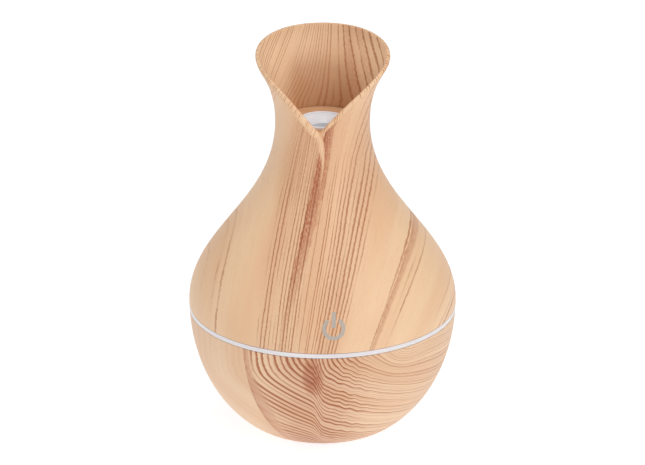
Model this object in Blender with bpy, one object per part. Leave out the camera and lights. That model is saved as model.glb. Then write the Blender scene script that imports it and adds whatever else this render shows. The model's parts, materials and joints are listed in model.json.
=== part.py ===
"""A vase-shaped ultrasonic essential oil diffuser, modelled as its separate pieces.

The lower half is a water tank inside a bowl-shaped shell. The upper half is a vase-shaped shell that
carries the electronics, the light ring and the atomiser, and plugs into the tank through a silicone
seal. A wick in a sleeve hangs from it into the water. Metres, +Z up, the front at -Y, and the origin
on the surface that the feet stand on. An azimuth is measured from the front towards +X.
"""

import math

import bmesh
import bpy
from mathutils import Matrix, Vector

MM = 0.001

# The outside, from which everything else follows
BODY_RADIUS = 49.0 * MM
EQUATOR_Z = 47.4 * MM
BASE_RADIUS = 27.6 * MM
BASE_Z = 0.8 * MM
BASE_SLOPE = math.radians(32.7)
NECK_RADIUS = 17.1 * MM
NECK_Z = 116.35 * MM
RIM_RADIUS = 24.9 * MM
RIM_Z = 145.4 * MM
NOTCH_DEPTH = 28.0 * MM
NOTCH_POWER = 1.33
WALL = 1.8 * MM
LIP_ROUND = 0.35 * MM
GAP = 0.3 * MM

# How far each curve of the outside runs straight on from its ends
BASE_REACH = 12.8 * MM
BOWL_REACH = 23.4 * MM
SHOULDER_REACH = 22.9 * MM
LOWER_NECK_REACH = 31.3 * MM
UPPER_NECK_REACH = 18.3 * MM
RIM_REACH = 9.0 * MM
RIM_SLOPE = math.radians(101)

# The seam where the left petal of the collar overlaps the right one
PETAL_STEP = 1.5 * MM
PETAL_SPREAD = math.radians(70)
SEAM_BOTTOM_Z = 76.0 * MM
SEAM_FULL_Z = 112.0 * MM
SEAM = [  # azimuth in degrees at each height
    (76.0 * MM, -9.0),
    (91.0 * MM, -5.4),
    (102.4 * MM, 0.0),
    (108.0 * MM, 2.5),
    (114.0 * MM, 2.1),
    (117.4 * MM, -3.2),
]
SEAM_SPREAD = math.radians(60)

# The light ring between the two shells
RING_LOW_Z = 44.4 * MM
RING_HIGH_Z = 46.0 * MM
RING_CLEARANCE = 0.2 * MM
RING_INNER_RADIUS = 43.6 * MM
RING_RIB_RADIUS = 45.1 * MM
RING_RIB_Z = 50.4 * MM

# The tank
BASE_WALL = 2.2 * MM
LINER_GAP = 0.4 * MM
LINER_WALL = 1.5 * MM
REBATE_DEPTH = 1.4 * MM
REBATE_WALL = 1.0 * MM
SEAT_Z = 38.0 * MM
SEAT_RADIUS = 43.1 * MM
SEAT_HEIGHT = 1.4 * MM
FOOT_RADIUS = 4.0 * MM
FOOT_CIRCLE = 19.5 * MM
FOOT_POCKET = 0.6 * MM
FOOT_COUNT = 4

# The chassis that closes the upper shell
PLATE_LOW_Z = 46.3 * MM
PLATE_HIGH_Z = 48.1 * MM
PLATE_RADIUS = 43.2 * MM
SKIRT_RADIUS = 42.7 * MM
SKIRT_WALL = 1.5 * MM
SKIRT_LOW_Z = 37.4 * MM
SOCKET_RADIUS = 7.3 * MM
SOCKET_WALL = 1.6 * MM
SOCKET_LOW_Z = 44.5 * MM
SOCKET_HIGH_Z = 58.0 * MM
BOSS_CIRCLE = 34.0 * MM
BOSS_RADIUS = 2.6 * MM
POST_CIRCLE = 28.0 * MM
POST_RADIUS = 2.4 * MM
POST_HIGH_Z = 50.6 * MM

# Fasteners
SCREW_RADIUS = 0.95 * MM
SCREW_HOLE_RADIUS = 1.3 * MM
SCREW_HEAD_RADIUS = 2.2 * MM
SCREW_HEAD_HEIGHT = 1.3 * MM
SCREW_LENGTH = 6.0 * MM
CARRIER_SCREW_LENGTH = 4.4 * MM
BOARD_SCREW_LENGTH = 3.2 * MM

# The circuit board and what is on it
BOARD_LOW_Z = 50.9 * MM
BOARD_THICKNESS = 1.2 * MM
BOARD_RADIUS = 40.5 * MM
BOARD_HOLE_RADIUS = 11.0 * MM
TAB_WIDTH = 11.0 * MM
TAB_Y = 46.2 * MM
LED_COUNT = 6
LED_CIRCLE = 37.6 * MM
LED_SIZE = (2.8 * MM, 3.5 * MM, 1.3 * MM)
USB_WIDTH = 7.6 * MM
USB_HEIGHT = 2.7 * MM
USB_DEPTH = 5.2 * MM
USB_FACE_Y = 46.3 * MM
USB_WALL = 0.35 * MM
USB_WINDOW = (11.4 * MM, 7.4 * MM)
TOUCH_AZIMUTH = math.radians(5.2)
TOUCH_Z = 57.0 * MM
TOUCH_RADIUS = 5.5 * MM
TOUCH_THICKNESS = 0.8 * MM
WIRE_RADIUS = 0.6 * MM
WIRE_CIRCLE = 10.8 * MM
WIRE_AZIMUTH = math.radians(240)

# The atomiser under the shelf in the neck
SHELF_HIGH_Z = 116.3 * MM
SHELF_LOW_Z = 114.8 * MM
NOZZLE_RADIUS = 8.8 * MM
NOZZLE_FLANGE_RADIUS = 9.8 * MM
MIST_HOLE_RADIUS = 3.6 * MM
GASKET_RADIUS = 8.7 * MM
GASKET_LIP_RADIUS = 5.4 * MM
GASKET_LOW_Z = 110.6 * MM
GASKET_HIGH_Z = 113.0 * MM
CARRIER_RADIUS = 14.2 * MM
CARRIER_LOW_Z = 108.8 * MM
CARRIER_FLOOR_Z = 110.3 * MM
CARRIER_TUBE_RADIUS = 6.3 * MM
CARRIER_TUBE_Z = 98.0 * MM
SHELF_BOSS_CIRCLE = 12.1 * MM
SHELF_BOSS_RADIUS = 1.9 * MM

# The wick and its sleeve
SLEEVE_RADIUS = 5.9 * MM
SLEEVE_BORE = 4.5 * MM
SLEEVE_LOW_Z = 11.4 * MM
SLEEVE_HIGH_Z = 106.0 * MM
SLEEVE_COLLAR_RADIUS = 6.9 * MM
SLEEVE_GRIP_RADIUS = 9.6 * MM
SLOT_WIDTH = 2.6 * MM
SLOT_LOW_Z = 20.0 * MM
SLOT_HIGH_Z = 36.0 * MM
O_RING_Z = 51.0 * MM
O_RING_WIRE = 0.55 * MM
CAP_LOW_Z = 9.5 * MM
CAP_FLOOR_Z = 11.1 * MM
CAP_HIGH_Z = 16.0 * MM
CAP_RADIUS = 7.2 * MM
SPRING_WIRE_RADIUS = 0.3 * MM
SPRING_RADIUS = 3.0 * MM
SPRING_LOW_Z = 11.4 * MM
SPRING_HIGH_Z = 19.6 * MM
SPRING_TURNS = 5
WICK_RADIUS = 4.0 * MM
WICK_LOW_Z = 19.9 * MM
WICK_HIGH_Z = 111.1 * MM

# Facets
SHELL_STEPS = 48
TURNED_STEPS = 30
SMALL_STEPS = 20
SCREW_STEPS = 10
THIRDS = [math.radians(a) for a in (60, 180, 300)]

COLOURS = {  # colour, roughness, metallic
    "wood_print": ((0.80, 0.55, 0.34), 0.45, 0.0),
    "white_plastic": ((0.86, 0.87, 0.88), 0.40, 0.0),
    "light_ring": ((0.88, 0.90, 0.95), 0.35, 0.0),
    "silicone": ((0.78, 0.79, 0.80), 0.55, 0.0),
    "rubber": ((0.10, 0.10, 0.10), 0.80, 0.0),
    "steel": ((0.62, 0.62, 0.64), 0.30, 1.0),
    "ceramic": ((0.85, 0.82, 0.76), 0.50, 0.0),
    "board": ((0.05, 0.30, 0.14), 0.50, 0.0),
    "black_plastic": ((0.03, 0.03, 0.03), 0.50, 0.0),
    "red_wire": ((0.60, 0.03, 0.03), 0.45, 0.0),
    "cotton": ((0.88, 0.87, 0.83), 0.95, 0.0),
}


def clear_scene():
    for obj in list(bpy.data.objects):
        bpy.data.objects.remove(obj, do_unlink=True)


def material(name):
    """The shared material of one colour."""
    found = bpy.data.materials.get(name)
    if found:
        return found
    colour, roughness, metallic = COLOURS[name]
    made = bpy.data.materials.new(name)
    made.use_nodes = True
    shader = made.node_tree.nodes["Principled BSDF"]
    shader.inputs["Base Color"].default_value = (*colour, 1.0)
    shader.inputs["Roughness"].default_value = roughness
    shader.inputs["Metallic"].default_value = metallic
    return made


def finished(name, bm, colour):
    """An object from a bmesh, with its normals outwards and its round faces smooth."""
    bmesh.ops.recalc_face_normals(bm, faces=bm.faces)
    mesh = bpy.data.meshes.new(name)
    bm.to_mesh(mesh)
    bm.free()
    mesh.shade_smooth()
    mesh.set_sharp_from_angle(angle=math.radians(35))
    obj = bpy.data.objects.new(name, mesh)
    bpy.context.scene.collection.objects.link(obj)
    if colour:
        mesh.materials.append(material(colour))
    return obj


def parent(name):
    """An empty that groups the pieces of one body."""
    empty = bpy.data.objects.new(name, None)
    bpy.context.scene.collection.objects.link(empty)
    return empty


def turned(name, outline, colour, steps=TURNED_STEPS):
    """Spins a closed outline of (radius, z) points about Z. Points at radius 0 close on the axis."""
    bm = bmesh.new()
    verts = [bm.verts.new((r, 0.0, z)) for r, z in outline]
    edges = []
    for a, b in zip(verts, verts[1:] + verts[:1]):
        on_axis = a.co.x < 1e-9 and b.co.x < 1e-9
        if not on_axis:
            edges.append(bm.edges.new((a, b)))
    bmesh.ops.spin(
        bm,
        geom=verts + edges,
        cent=(0, 0, 0),
        axis=(0, 0, 1),
        angle=math.tau,
        steps=steps,
        use_merge=True,
    )
    bmesh.ops.remove_doubles(bm, verts=bm.verts, dist=1e-7)
    return finished(name, bm, colour)


def box(name, low, high, colour):
    """A block between two corners."""
    low = Vector(low)
    high = Vector(high)
    bm = bmesh.new()
    size = Matrix.Diagonal((*(high - low), 1.0))
    bmesh.ops.create_cube(bm, size=1.0, matrix=Matrix.Translation((low + high) / 2) @ size)
    return finished(name, bm, colour)


def cylinder(name, centre, radius, z_low, z_high, colour, steps=SMALL_STEPS):
    """An upright cylinder whose axis passes through centre, an (x, y) point."""
    bm = bmesh.new()
    middle = Matrix.Translation((centre[0], centre[1], (z_low + z_high) / 2))
    bmesh.ops.create_cone(
        bm,
        cap_ends=True,
        segments=steps,
        radius1=radius,
        radius2=radius,
        depth=z_high - z_low,
        matrix=middle,
    )
    return finished(name, bm, colour)


def combine(obj, other, operation):
    """Joins other to obj, cuts it away or keeps what they share, with an applied Boolean."""
    modifier = obj.modifiers.new(operation.lower(), "BOOLEAN")
    modifier.operation = operation
    modifier.object = other
    modifier.solver = "EXACT"
    graph = bpy.context.evaluated_depsgraph_get()
    result = bpy.data.meshes.new_from_object(obj.evaluated_get(graph))
    obj.modifiers.clear()
    old = obj.data
    obj.data = result
    bpy.data.meshes.remove(old)
    bpy.data.objects.remove(other, do_unlink=True)
    obj.data.shade_smooth()
    obj.data.set_sharp_from_angle(angle=math.radians(35))


def around(radius, azimuth):
    """The (x, y) point at a radius and an azimuth from the front."""
    return (radius * math.sin(azimuth), -radius * math.cos(azimuth))


def between(a, b, share):
    return a + (b - a) * share


def smooth(share):
    """0 to 1 with level ends."""
    share = min(max(share, 0.0), 1.0)
    return share * share * (3 - 2 * share)


def bezier(ends, count):
    """Points on a cubic curve, without its first point."""
    p0, p1, p2, p3 = (Vector(end) for end in ends)
    points = []
    for i in range(1, count + 1):
        t = i / count
        u = 1 - t
        points.append(tuple(u**3 * p0 + 3 * u * u * t * p1 + 3 * u * t * t * p2 + t**3 * p3))
    return points


def further(point, slope, distance):
    """The (radius, z) point at a distance from another, in the direction of a slope."""
    return (point[0] + distance * math.cos(slope), point[1] + distance * math.sin(slope))


def outside(counts=(60, 80, 60)):
    """The outer surface's (radius, z) points, from the base's corner to the back of the rim."""
    base = (BASE_RADIUS, BASE_Z)
    equator = (BODY_RADIUS, EQUATOR_Z)
    neck = (NECK_RADIUS, NECK_Z)
    rim = (RIM_RADIUS, RIM_Z)
    leave_base = further(base, BASE_SLOPE, BASE_REACH)
    bowl = (base, leave_base, (BODY_RADIUS, EQUATOR_Z - BOWL_REACH), equator)
    leave_equator = (BODY_RADIUS, EQUATOR_Z + SHOULDER_REACH)
    shoulder = (equator, leave_equator, (NECK_RADIUS, NECK_Z - LOWER_NECK_REACH), neck)
    collar = (neck, (NECK_RADIUS, NECK_Z + UPPER_NECK_REACH), further(rim, RIM_SLOPE, -RIM_REACH), rim)
    points = [base]
    for ends, count in zip((bowl, shoulder, collar), counts):
        points += bezier(ends, count)
    return points


OUTSIDE = outside()
INSETS = {}


def inset(points, depth):
    """The points moved inwards, at right angles to the curve."""
    moved = []
    for i, (r, z) in enumerate(points):
        r0, z0 = points[max(i - 1, 0)]
        r1, z1 = points[min(i + 1, len(points) - 1)]
        length = math.hypot(r1 - r0, z1 - z0)
        moved.append((r - depth * (z1 - z0) / length, z + depth * (r1 - r0) / length))
    return moved


def radius_at(z, depth=0.0):
    """The radius of the outside, inset by depth, at a height."""
    points = INSETS.setdefault(depth, inset(OUTSIDE, depth))
    for (r0, z0), (r1, z1) in zip(points, points[1:]):
        if z0 <= z <= z1:
            return between(r0, r1, (z - z0) / (z1 - z0))
    return points[0][0] if z < points[0][1] else points[-1][0]


def wall(z_low, z_high, count, depth=0.0):
    """Points up the outside, inset by depth, closer together towards the base."""
    points = []
    for i in range(count + 1):
        z = between(z_low, z_high, (i / count) ** 1.4)
        points.append((radius_at(z, depth), z))
    return points


# ---------------------------------------------------------------- the tank half


def lower_shell():
    floor_z = BASE_Z + BASE_WALL
    top_z = RING_LOW_Z - RING_CLEARANCE
    outer = wall(BASE_Z, top_z, 9)
    inner = wall(floor_z, top_z - REBATE_DEPTH, 6, WALL)
    rebate_radius = outer[-1][0] - REBATE_WALL
    outline = [(0, BASE_Z), *outer, (rebate_radius, top_z), (rebate_radius, inner[-1][1])]
    outline += [*reversed(inner), (0, floor_z)]
    shell = turned("lower_shell", outline, "wood_print", SHELL_STEPS)
    for i in range(FOOT_COUNT):
        centre = around(FOOT_CIRCLE, math.tau * (i + 0.5) / FOOT_COUNT)
        pocket = cylinder("pocket", centre, FOOT_RADIUS + GAP, -MM, BASE_Z + FOOT_POCKET, None)
        combine(shell, pocket, "DIFFERENCE")
    return [shell]


def tank_liner():
    depth = WALL + LINER_GAP
    bottom_z = BASE_Z + BASE_WALL + LINER_GAP
    floor_z = bottom_z + LINER_WALL
    top_z = RING_LOW_Z - RING_CLEARANCE
    flange_z = top_z - REBATE_DEPTH + GAP
    flange_radius = radius_at(top_z) - REBATE_WALL - GAP
    outer = wall(bottom_z, flange_z, 7, depth)
    below = wall(floor_z, SEAT_Z - 2 * SEAT_HEIGHT, 5, depth + LINER_WALL)
    mouth = wall(SEAT_Z, top_z, 2, depth + LINER_WALL)
    seat = [(SEAT_RADIUS, SEAT_Z), (SEAT_RADIUS, SEAT_Z - SEAT_HEIGHT)]
    outline = [(0, bottom_z), *outer, (flange_radius, flange_z), (flange_radius, top_z)]
    outline += [*reversed(mouth), *seat, *reversed(below), (0, floor_z)]
    return [turned("tank_liner", outline, "white_plastic", SHELL_STEPS)]


def feet():
    pads = []
    for i in range(FOOT_COUNT):
        centre = around(FOOT_CIRCLE, math.tau * (i + 0.5) / FOOT_COUNT)
        top_z = BASE_Z + FOOT_POCKET - GAP
        pads.append(cylinder(f"foot_pad_{i + 1}", centre, FOOT_RADIUS, 0.0, top_z, "rubber"))
    return pads


def tank_seal():
    """A ring with two fins, which sits on the liner's seat round the chassis' skirt."""
    inner = SKIRT_RADIUS + GAP
    web = inner + 0.8 * MM
    fin = inner + 1.35 * MM
    low = SEAT_Z + GAP
    outline = [(inner, low), (fin, low), (fin, low + 0.8 * MM), (web, low + 1.2 * MM)]
    outline += [(web, low + 2.2 * MM), (fin, low + 2.6 * MM)]
    outline += [(web, low + 3.6 * MM), (inner, low + 3.6 * MM)]
    return [turned("tank_seal", outline, "silicone", SHELL_STEPS)]


# ---------------------------------------------------------------- the upper shell


def seam_azimuth(z):
    """Where the overlap's edge runs at a height."""
    if z <= SEAM[0][0]:
        return math.radians(SEAM[0][1])
    for (z0, a0), (z1, a1) in zip(SEAM, SEAM[1:]):
        if z <= z1:
            return math.radians(between(a0, a1, (z - z0) / (z1 - z0)))
    return math.radians(SEAM[-1][1])


def petal_lift(past_seam, z):
    """How far the left petal stands out, at an azimuth counted from the seam."""
    if past_seam > 0 or past_seam < -PETAL_SPREAD:
        return 0.0
    height = smooth((z - SEAM_BOTTOM_Z) / (SEAM_FULL_Z - SEAM_BOTTOM_Z))
    return PETAL_STEP * height * smooth(1 + past_seam / PETAL_SPREAD)


def rim_z(past_seam):
    """The rim's height: a deep notch in front, level at the back."""
    return RIM_Z - NOTCH_DEPTH * (1 - math.sin(abs(past_seam) / 2)) ** NOTCH_POWER


def shell_columns():
    """Azimuths from the seam, in order round the shell, closer together at the notch."""
    right = [0.6, 4, 9, 15, 22, 30, 39, 49, 60, 72, 84, 96, 108, 120, 132, 144, 156, 168]
    left = [-a for a in reversed(right)]
    return [math.radians(a) for a in [*left, -0.0, *right, 180]]


def ring_points(z, depth, follow_rim=None, lifted=True):
    """One ring of the shell. follow_rim is the share of the way from z up to the rim."""
    points = []
    for past in shell_columns():
        height = z if follow_rim is None else between(z, rim_z(past), follow_rim)
        azimuth = past + seam_azimuth(height) * (1 - smooth(abs(past) / SEAM_SPREAD))
        lift = petal_lift(past, height) if lifted else 0.0
        radius = radius_at(height, depth) + lift
        points.append(Vector((*around(radius, azimuth), height)))
    return points


def loft(name, rings, colour):
    """A closed solid from rings of points, the last joined to the first."""
    bm = bmesh.new()
    rows = [[bm.verts.new(p) for p in ring] for ring in rings]
    for low, high in zip(rows, rows[1:] + rows[:1]):
        for i in range(len(low)):
            j = (i + 1) % len(low)
            bm.faces.new((low[i], low[j], high[j], high[i]))
    return finished(name, bm, colour)


def shell_boss(shell, centre, radius, z_low, z_high):
    """A screw boss that ends inside the shell's wall."""
    boss = cylinder("boss", centre, radius, z_low, z_high, None, SCREW_STEPS)
    core_points = wall(EQUATOR_Z, NECK_Z, 10, WALL / 2)
    core = turned("core", [(0, EQUATOR_Z), *core_points, (0, NECK_Z)], None, SHELL_STEPS)
    combine(boss, core, "INTERSECT")
    combine(shell, boss, "UNION")


def upper_shell():
    bottom_z = RING_HIGH_Z + RING_CLEARANCE
    notch_z = rim_z(0) - 1.2 * MM
    outer = [ring_points(bottom_z, 0.0)]
    outer += [ring_points(z * MM, 0.0) for z in (53, 60, 67, 74, 80, 86, 92, 98, 103, 108, 112)]
    outer += [ring_points(notch_z, 0.0, share) for share in (0, 0.25, 0.5, 0.75, 0.97)]
    lip = [ring_points(notch_z, LIP_ROUND, 1.0), ring_points(notch_z, WALL - LIP_ROUND, 1.0)]
    inner = [ring_points(notch_z, WALL, share) for share in (0.97, 0.7, 0.4, 0.15)]
    inner += [ring_points(z * MM, WALL, None, False) for z in (112, 106, 98, 90, 82, 74, 65, 55)]
    inner += [ring_points(bottom_z, WALL, None, False)]
    shell = loft("upper_shell", outer + lip + inner, "wood_print")
    pilot_z = PLATE_HIGH_Z + SCREW_LENGTH + MM
    for azimuth in THIRDS:
        centre = around(BOSS_CIRCLE, azimuth)
        shell_boss(shell, centre, BOSS_RADIUS, PLATE_HIGH_Z + GAP, 90 * MM)
        pilot = cylinder("pilot", centre, SCREW_HOLE_RADIUS, 0, pilot_z, None, SCREW_STEPS)
        combine(shell, pilot, "DIFFERENCE")
    width, height = USB_WINDOW
    usb_z = BOARD_LOW_Z + BOARD_THICKNESS + GAP + USB_HEIGHT / 2
    low = (-width / 2, BODY_RADIUS - 5 * MM, usb_z - height / 2)
    high = (width / 2, BODY_RADIUS + MM, usb_z + height / 2)
    window = box("window", low, high, None)
    bevel_edges(window, 1.6 * MM, "Y")
    combine(shell, window, "DIFFERENCE")
    return [shell]


def neck_shelf():
    """The disc pressed into the neck, with the mist nozzle in its hole and three screw bosses below."""
    rim = radius_at(SHELF_LOW_Z, WALL) - GAP
    hole = NOZZLE_RADIUS + GAP
    outline = [(hole, SHELF_LOW_Z), (rim, SHELF_LOW_Z), (rim, SHELF_HIGH_Z), (hole, SHELF_HIGH_Z)]
    shelf = turned("neck_shelf", outline, "wood_print")
    low_z = CARRIER_FLOOR_Z + GAP
    middle_z = (SHELF_LOW_Z + SHELF_HIGH_Z) / 2
    for azimuth in THIRDS:
        centre = around(SHELF_BOSS_CIRCLE, azimuth)
        boss = cylinder("boss", centre, SHELF_BOSS_RADIUS, low_z, middle_z, None, SCREW_STEPS)
        combine(shelf, boss, "UNION")
        pilot = cylinder("pilot", centre, SCREW_HOLE_RADIUS, low_z - MM, middle_z - GAP, None, SCREW_STEPS)
        combine(shelf, pilot, "DIFFERENCE")
    return [shelf]


def bevel_edges(obj, width, axis, segments=3):
    """Rounds the edges of a block that run along one axis."""
    index = "XYZ".index(axis)
    bm = bmesh.new()
    bm.from_mesh(obj.data)
    edges = []
    for edge in bm.edges:
        along = (edge.verts[0].co - edge.verts[1].co).normalized()
        if abs(along[index]) > 0.99:
            edges.append(edge)
    bmesh.ops.bevel(bm, geom=edges, offset=width, segments=segments, profile=0.5, affect="EDGES")
    bm.to_mesh(obj.data)
    bm.free()


# ---------------------------------------------------------------- the chassis half


def light_ring():
    outline = [(RING_INNER_RADIUS, RING_LOW_Z)]
    outline += wall(RING_LOW_Z, RING_HIGH_Z, 2)
    outline += [(RING_RIB_RADIUS, RING_HIGH_Z), (RING_RIB_RADIUS, RING_RIB_Z)]
    outline += [(RING_INNER_RADIUS, RING_RIB_Z)]
    return [turned("light_ring", outline, "light_ring", SHELL_STEPS)]


def chassis():
    socket_outer = SOCKET_RADIUS + SOCKET_WALL
    skirt_inner = SKIRT_RADIUS - SKIRT_WALL
    outline = [(SOCKET_RADIUS, SOCKET_LOW_Z), (socket_outer, SOCKET_LOW_Z)]
    outline += [(socket_outer, PLATE_LOW_Z), (skirt_inner, PLATE_LOW_Z), (skirt_inner, SKIRT_LOW_Z)]
    outline += [(SKIRT_RADIUS - 0.6 * MM, SKIRT_LOW_Z), (SKIRT_RADIUS, SKIRT_LOW_Z + MM)]
    outline += [(SKIRT_RADIUS, PLATE_LOW_Z), (PLATE_RADIUS, PLATE_LOW_Z), (PLATE_RADIUS, PLATE_HIGH_Z)]
    outline += [(socket_outer, PLATE_HIGH_Z), (socket_outer, SOCKET_HIGH_Z)]
    outline += [(SOCKET_RADIUS, SOCKET_HIGH_Z)]
    made = turned("chassis", outline, "white_plastic", SHELL_STEPS)
    for azimuth in THIRDS:
        through = (PLATE_LOW_Z - MM, PLATE_HIGH_Z + MM)
        hole_at = around(BOSS_CIRCLE, azimuth)
        hole = cylinder("hole", hole_at, SCREW_HOLE_RADIUS, *through, None, SCREW_STEPS)
        combine(made, hole, "DIFFERENCE")
        post_at = around(POST_CIRCLE, azimuth + math.pi)
        middle_z = (PLATE_LOW_Z + PLATE_HIGH_Z) / 2
        post = cylinder("post", post_at, POST_RADIUS, middle_z, POST_HIGH_Z, None, SCREW_STEPS)
        combine(made, post, "UNION")
        bore = (PLATE_HIGH_Z, POST_HIGH_Z + MM)
        pilot = cylinder("pilot", post_at, SCREW_HOLE_RADIUS, *bore, None, SCREW_STEPS)
        combine(made, pilot, "DIFFERENCE")
    return [made]


def screw(name, centre, face_z, length, upwards):
    """A pan-head screw whose head bears on face_z and whose shank runs up or down."""
    way = 1 if upwards else -1
    head_z = face_z - way * GAP
    top_z = head_z - way * SCREW_HEAD_HEIGHT
    end_z = face_z + way * length
    dome = SCREW_HEAD_RADIUS * 0.7
    outline = [(0, top_z), (dome, top_z), (SCREW_HEAD_RADIUS, top_z + way * 0.5 * MM)]
    outline += [(SCREW_HEAD_RADIUS, head_z), (SCREW_RADIUS, head_z), (SCREW_RADIUS, end_z - way * 0.8 * MM)]
    outline += [(0, end_z)]
    made = turned(name, outline, "steel", SCREW_STEPS)
    made.location = (*centre, 0.0)
    return made


def screws():
    made = []
    for i, azimuth in enumerate(THIRDS):
        number = i + 1
        at = around(BOSS_CIRCLE, azimuth)
        made.append(screw(f"chassis_screw_{number}", at, PLATE_LOW_Z, SCREW_LENGTH, True))
        at = around(SHELF_BOSS_CIRCLE, azimuth)
        made.append(screw(f"carrier_screw_{number}", at, CARRIER_LOW_Z, CARRIER_SCREW_LENGTH, True))
        at = around(POST_CIRCLE, azimuth + math.pi)
        board_z = BOARD_LOW_Z + BOARD_THICKNESS
        made.append(screw(f"board_screw_{number}", at, board_z, BOARD_SCREW_LENGTH, False))
    return made


def main_board():
    high_z = BOARD_LOW_Z + BOARD_THICKNESS
    board = cylinder("main_board", (0, 0), BOARD_RADIUS, BOARD_LOW_Z, high_z, "board", TURNED_STEPS)
    tab = box("tab", (-TAB_WIDTH / 2, 0, BOARD_LOW_Z), (TAB_WIDTH / 2, TAB_Y, high_z), None)
    combine(board, tab, "UNION")
    cuts = [((0, 0), BOARD_HOLE_RADIUS)]
    cuts += [(around(BOSS_CIRCLE, a), BOSS_RADIUS + 2 * GAP) for a in THIRDS]
    cuts += [(around(POST_CIRCLE, a + math.pi), SCREW_HOLE_RADIUS) for a in THIRDS]
    for centre, radius in cuts:
        hole = cylinder("hole", centre, radius, BOARD_LOW_Z - MM, high_z + MM, None)
        combine(board, hole, "DIFFERENCE")
    return [board]


def leds():
    made = []
    for i in range(LED_COUNT):
        azimuth = math.tau * (i + 0.5) / LED_COUNT
        width, depth, height = LED_SIZE
        high_z = BOARD_LOW_Z - GAP
        low = (-depth / 2, -width / 2, high_z - height)
        made.append(box(f"led_{i + 1}", low, (depth / 2, width / 2, high_z), "white_plastic"))
        made[-1].location = (*around(LED_CIRCLE, azimuth), 0.0)
        made[-1].rotation_euler = (0, 0, azimuth - math.pi / 2)
    return made


def board_components():
    """The parts on top of the board: driver chip, inductor, capacitor and the wires' connector."""
    z = BOARD_LOW_Z + BOARD_THICKNESS + GAP
    chip = box("driver_chip", (14 * MM, 14 * MM, z), (20 * MM, 19 * MM, z + 1.6 * MM), "black_plastic")
    inductor = cylinder("power_inductor", (-17 * MM, 17 * MM), 4.2 * MM, z, z + 5 * MM, "black_plastic")
    can = cylinder("smoothing_capacitor", (-9 * MM, 29 * MM), 3.1 * MM, z, z + 8 * MM, "steel")
    plug_high = (-13 * MM, -7.5 * MM, z + 5 * MM)
    connector = box("wire_connector", (-19 * MM, -13.5 * MM, z), plug_high, "white_plastic")
    return [chip, inductor, can, connector]


def usb_outline(width, height, z_low):
    """The socket's cross-section in X and Z, with its two lower corners cut."""
    half = width / 2
    cut = 0.3 * height
    return [
        (-half, z_low + cut),
        (-half + cut, z_low),
        (half - cut, z_low),
        (half, z_low + cut),
        (half, z_low + height),
        (-half, z_low + height),
    ]


def extruded_y(name, outline, y_low, y_high, colour):
    """A solid from an (x, z) outline, drawn out along Y."""
    bm = bmesh.new()
    face = bm.faces.new([bm.verts.new((x, y_low, z)) for x, z in outline])
    drawn = bmesh.ops.extrude_face_region(bm, geom=[face])
    moved = [v for v in drawn["geom"] if isinstance(v, bmesh.types.BMVert)]
    bmesh.ops.translate(bm, verts=moved, vec=(0, y_high - y_low, 0))
    return finished(name, bm, colour)


def usb_socket():
    low_z = BOARD_LOW_Z + BOARD_THICKNESS + GAP
    back_y = USB_FACE_Y - USB_DEPTH
    outer = usb_outline(USB_WIDTH, USB_HEIGHT, low_z)
    inner = usb_outline(USB_WIDTH - 2 * USB_WALL, USB_HEIGHT - 2 * USB_WALL, low_z + USB_WALL)
    shell = extruded_y("usb_socket", outer, back_y, USB_FACE_Y, "steel")
    combine(shell, extruded_y("mouth", inner, back_y + MM, USB_FACE_Y + MM, None), "DIFFERENCE")
    tongue_z = low_z + 1.45 * MM
    tongue_low = (-1.9 * MM, back_y + MM + GAP, tongue_z)
    tongue_high = (1.9 * MM, USB_FACE_Y - 0.7 * MM, tongue_z + 0.6 * MM)
    return [shell, box("usb_tongue", tongue_low, tongue_high, "black_plastic")]


def touch_board():
    """The touch sensor behind the front wall: a small round board that lies along the wall."""
    disc = cylinder("touch_board", (0, 0), TOUCH_RADIUS, 0, TOUCH_THICKNESS, "board")
    slope = (radius_at(TOUCH_Z + MM) - radius_at(TOUCH_Z - MM)) / (2 * MM)
    tilt = math.pi / 2 + math.atan(slope)
    distance = radius_at(TOUCH_Z, WALL) - 1.2 * MM - TOUCH_THICKNESS
    disc.rotation_euler = (tilt, 0, TOUCH_AZIMUTH)
    disc.location = (*around(distance, TOUCH_AZIMUTH), TOUCH_Z)
    return [disc]


def smooth_route(points, count):
    """Points on a Catmull-Rom curve through the given ones."""
    padded = [Vector(p) for p in (points[0], *points, points[-1])]
    route = []
    for a, b, c, d in zip(padded, padded[1:], padded[2:], padded[3:]):
        square = 2 * a - 5 * b + 4 * c - d
        cube = 3 * b - 3 * c + d - a
        for i in range(count):
            t = i / count
            route.append(0.5 * (2 * b + (c - a) * t + square * t**2 + cube * t**3))
    return [*route, padded[-1]]


def wire(name, points, colour):
    """A wire held inside the housing, as a tube along its route."""
    curve = bpy.data.curves.new(name, "CURVE")
    curve.dimensions = "3D"
    curve.bevel_depth = WIRE_RADIUS
    curve.bevel_resolution = 1
    curve.use_fill_caps = True
    route = smooth_route(points, 4)
    spline = curve.splines.new("POLY")
    spline.points.add(len(route) - 1)
    for point, place in zip(spline.points, route):
        point.co = (*place, 1.0)
    curve.materials.append(material(colour))
    obj = bpy.data.objects.new(name, curve)
    bpy.context.scene.collection.objects.link(obj)
    return obj


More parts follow.
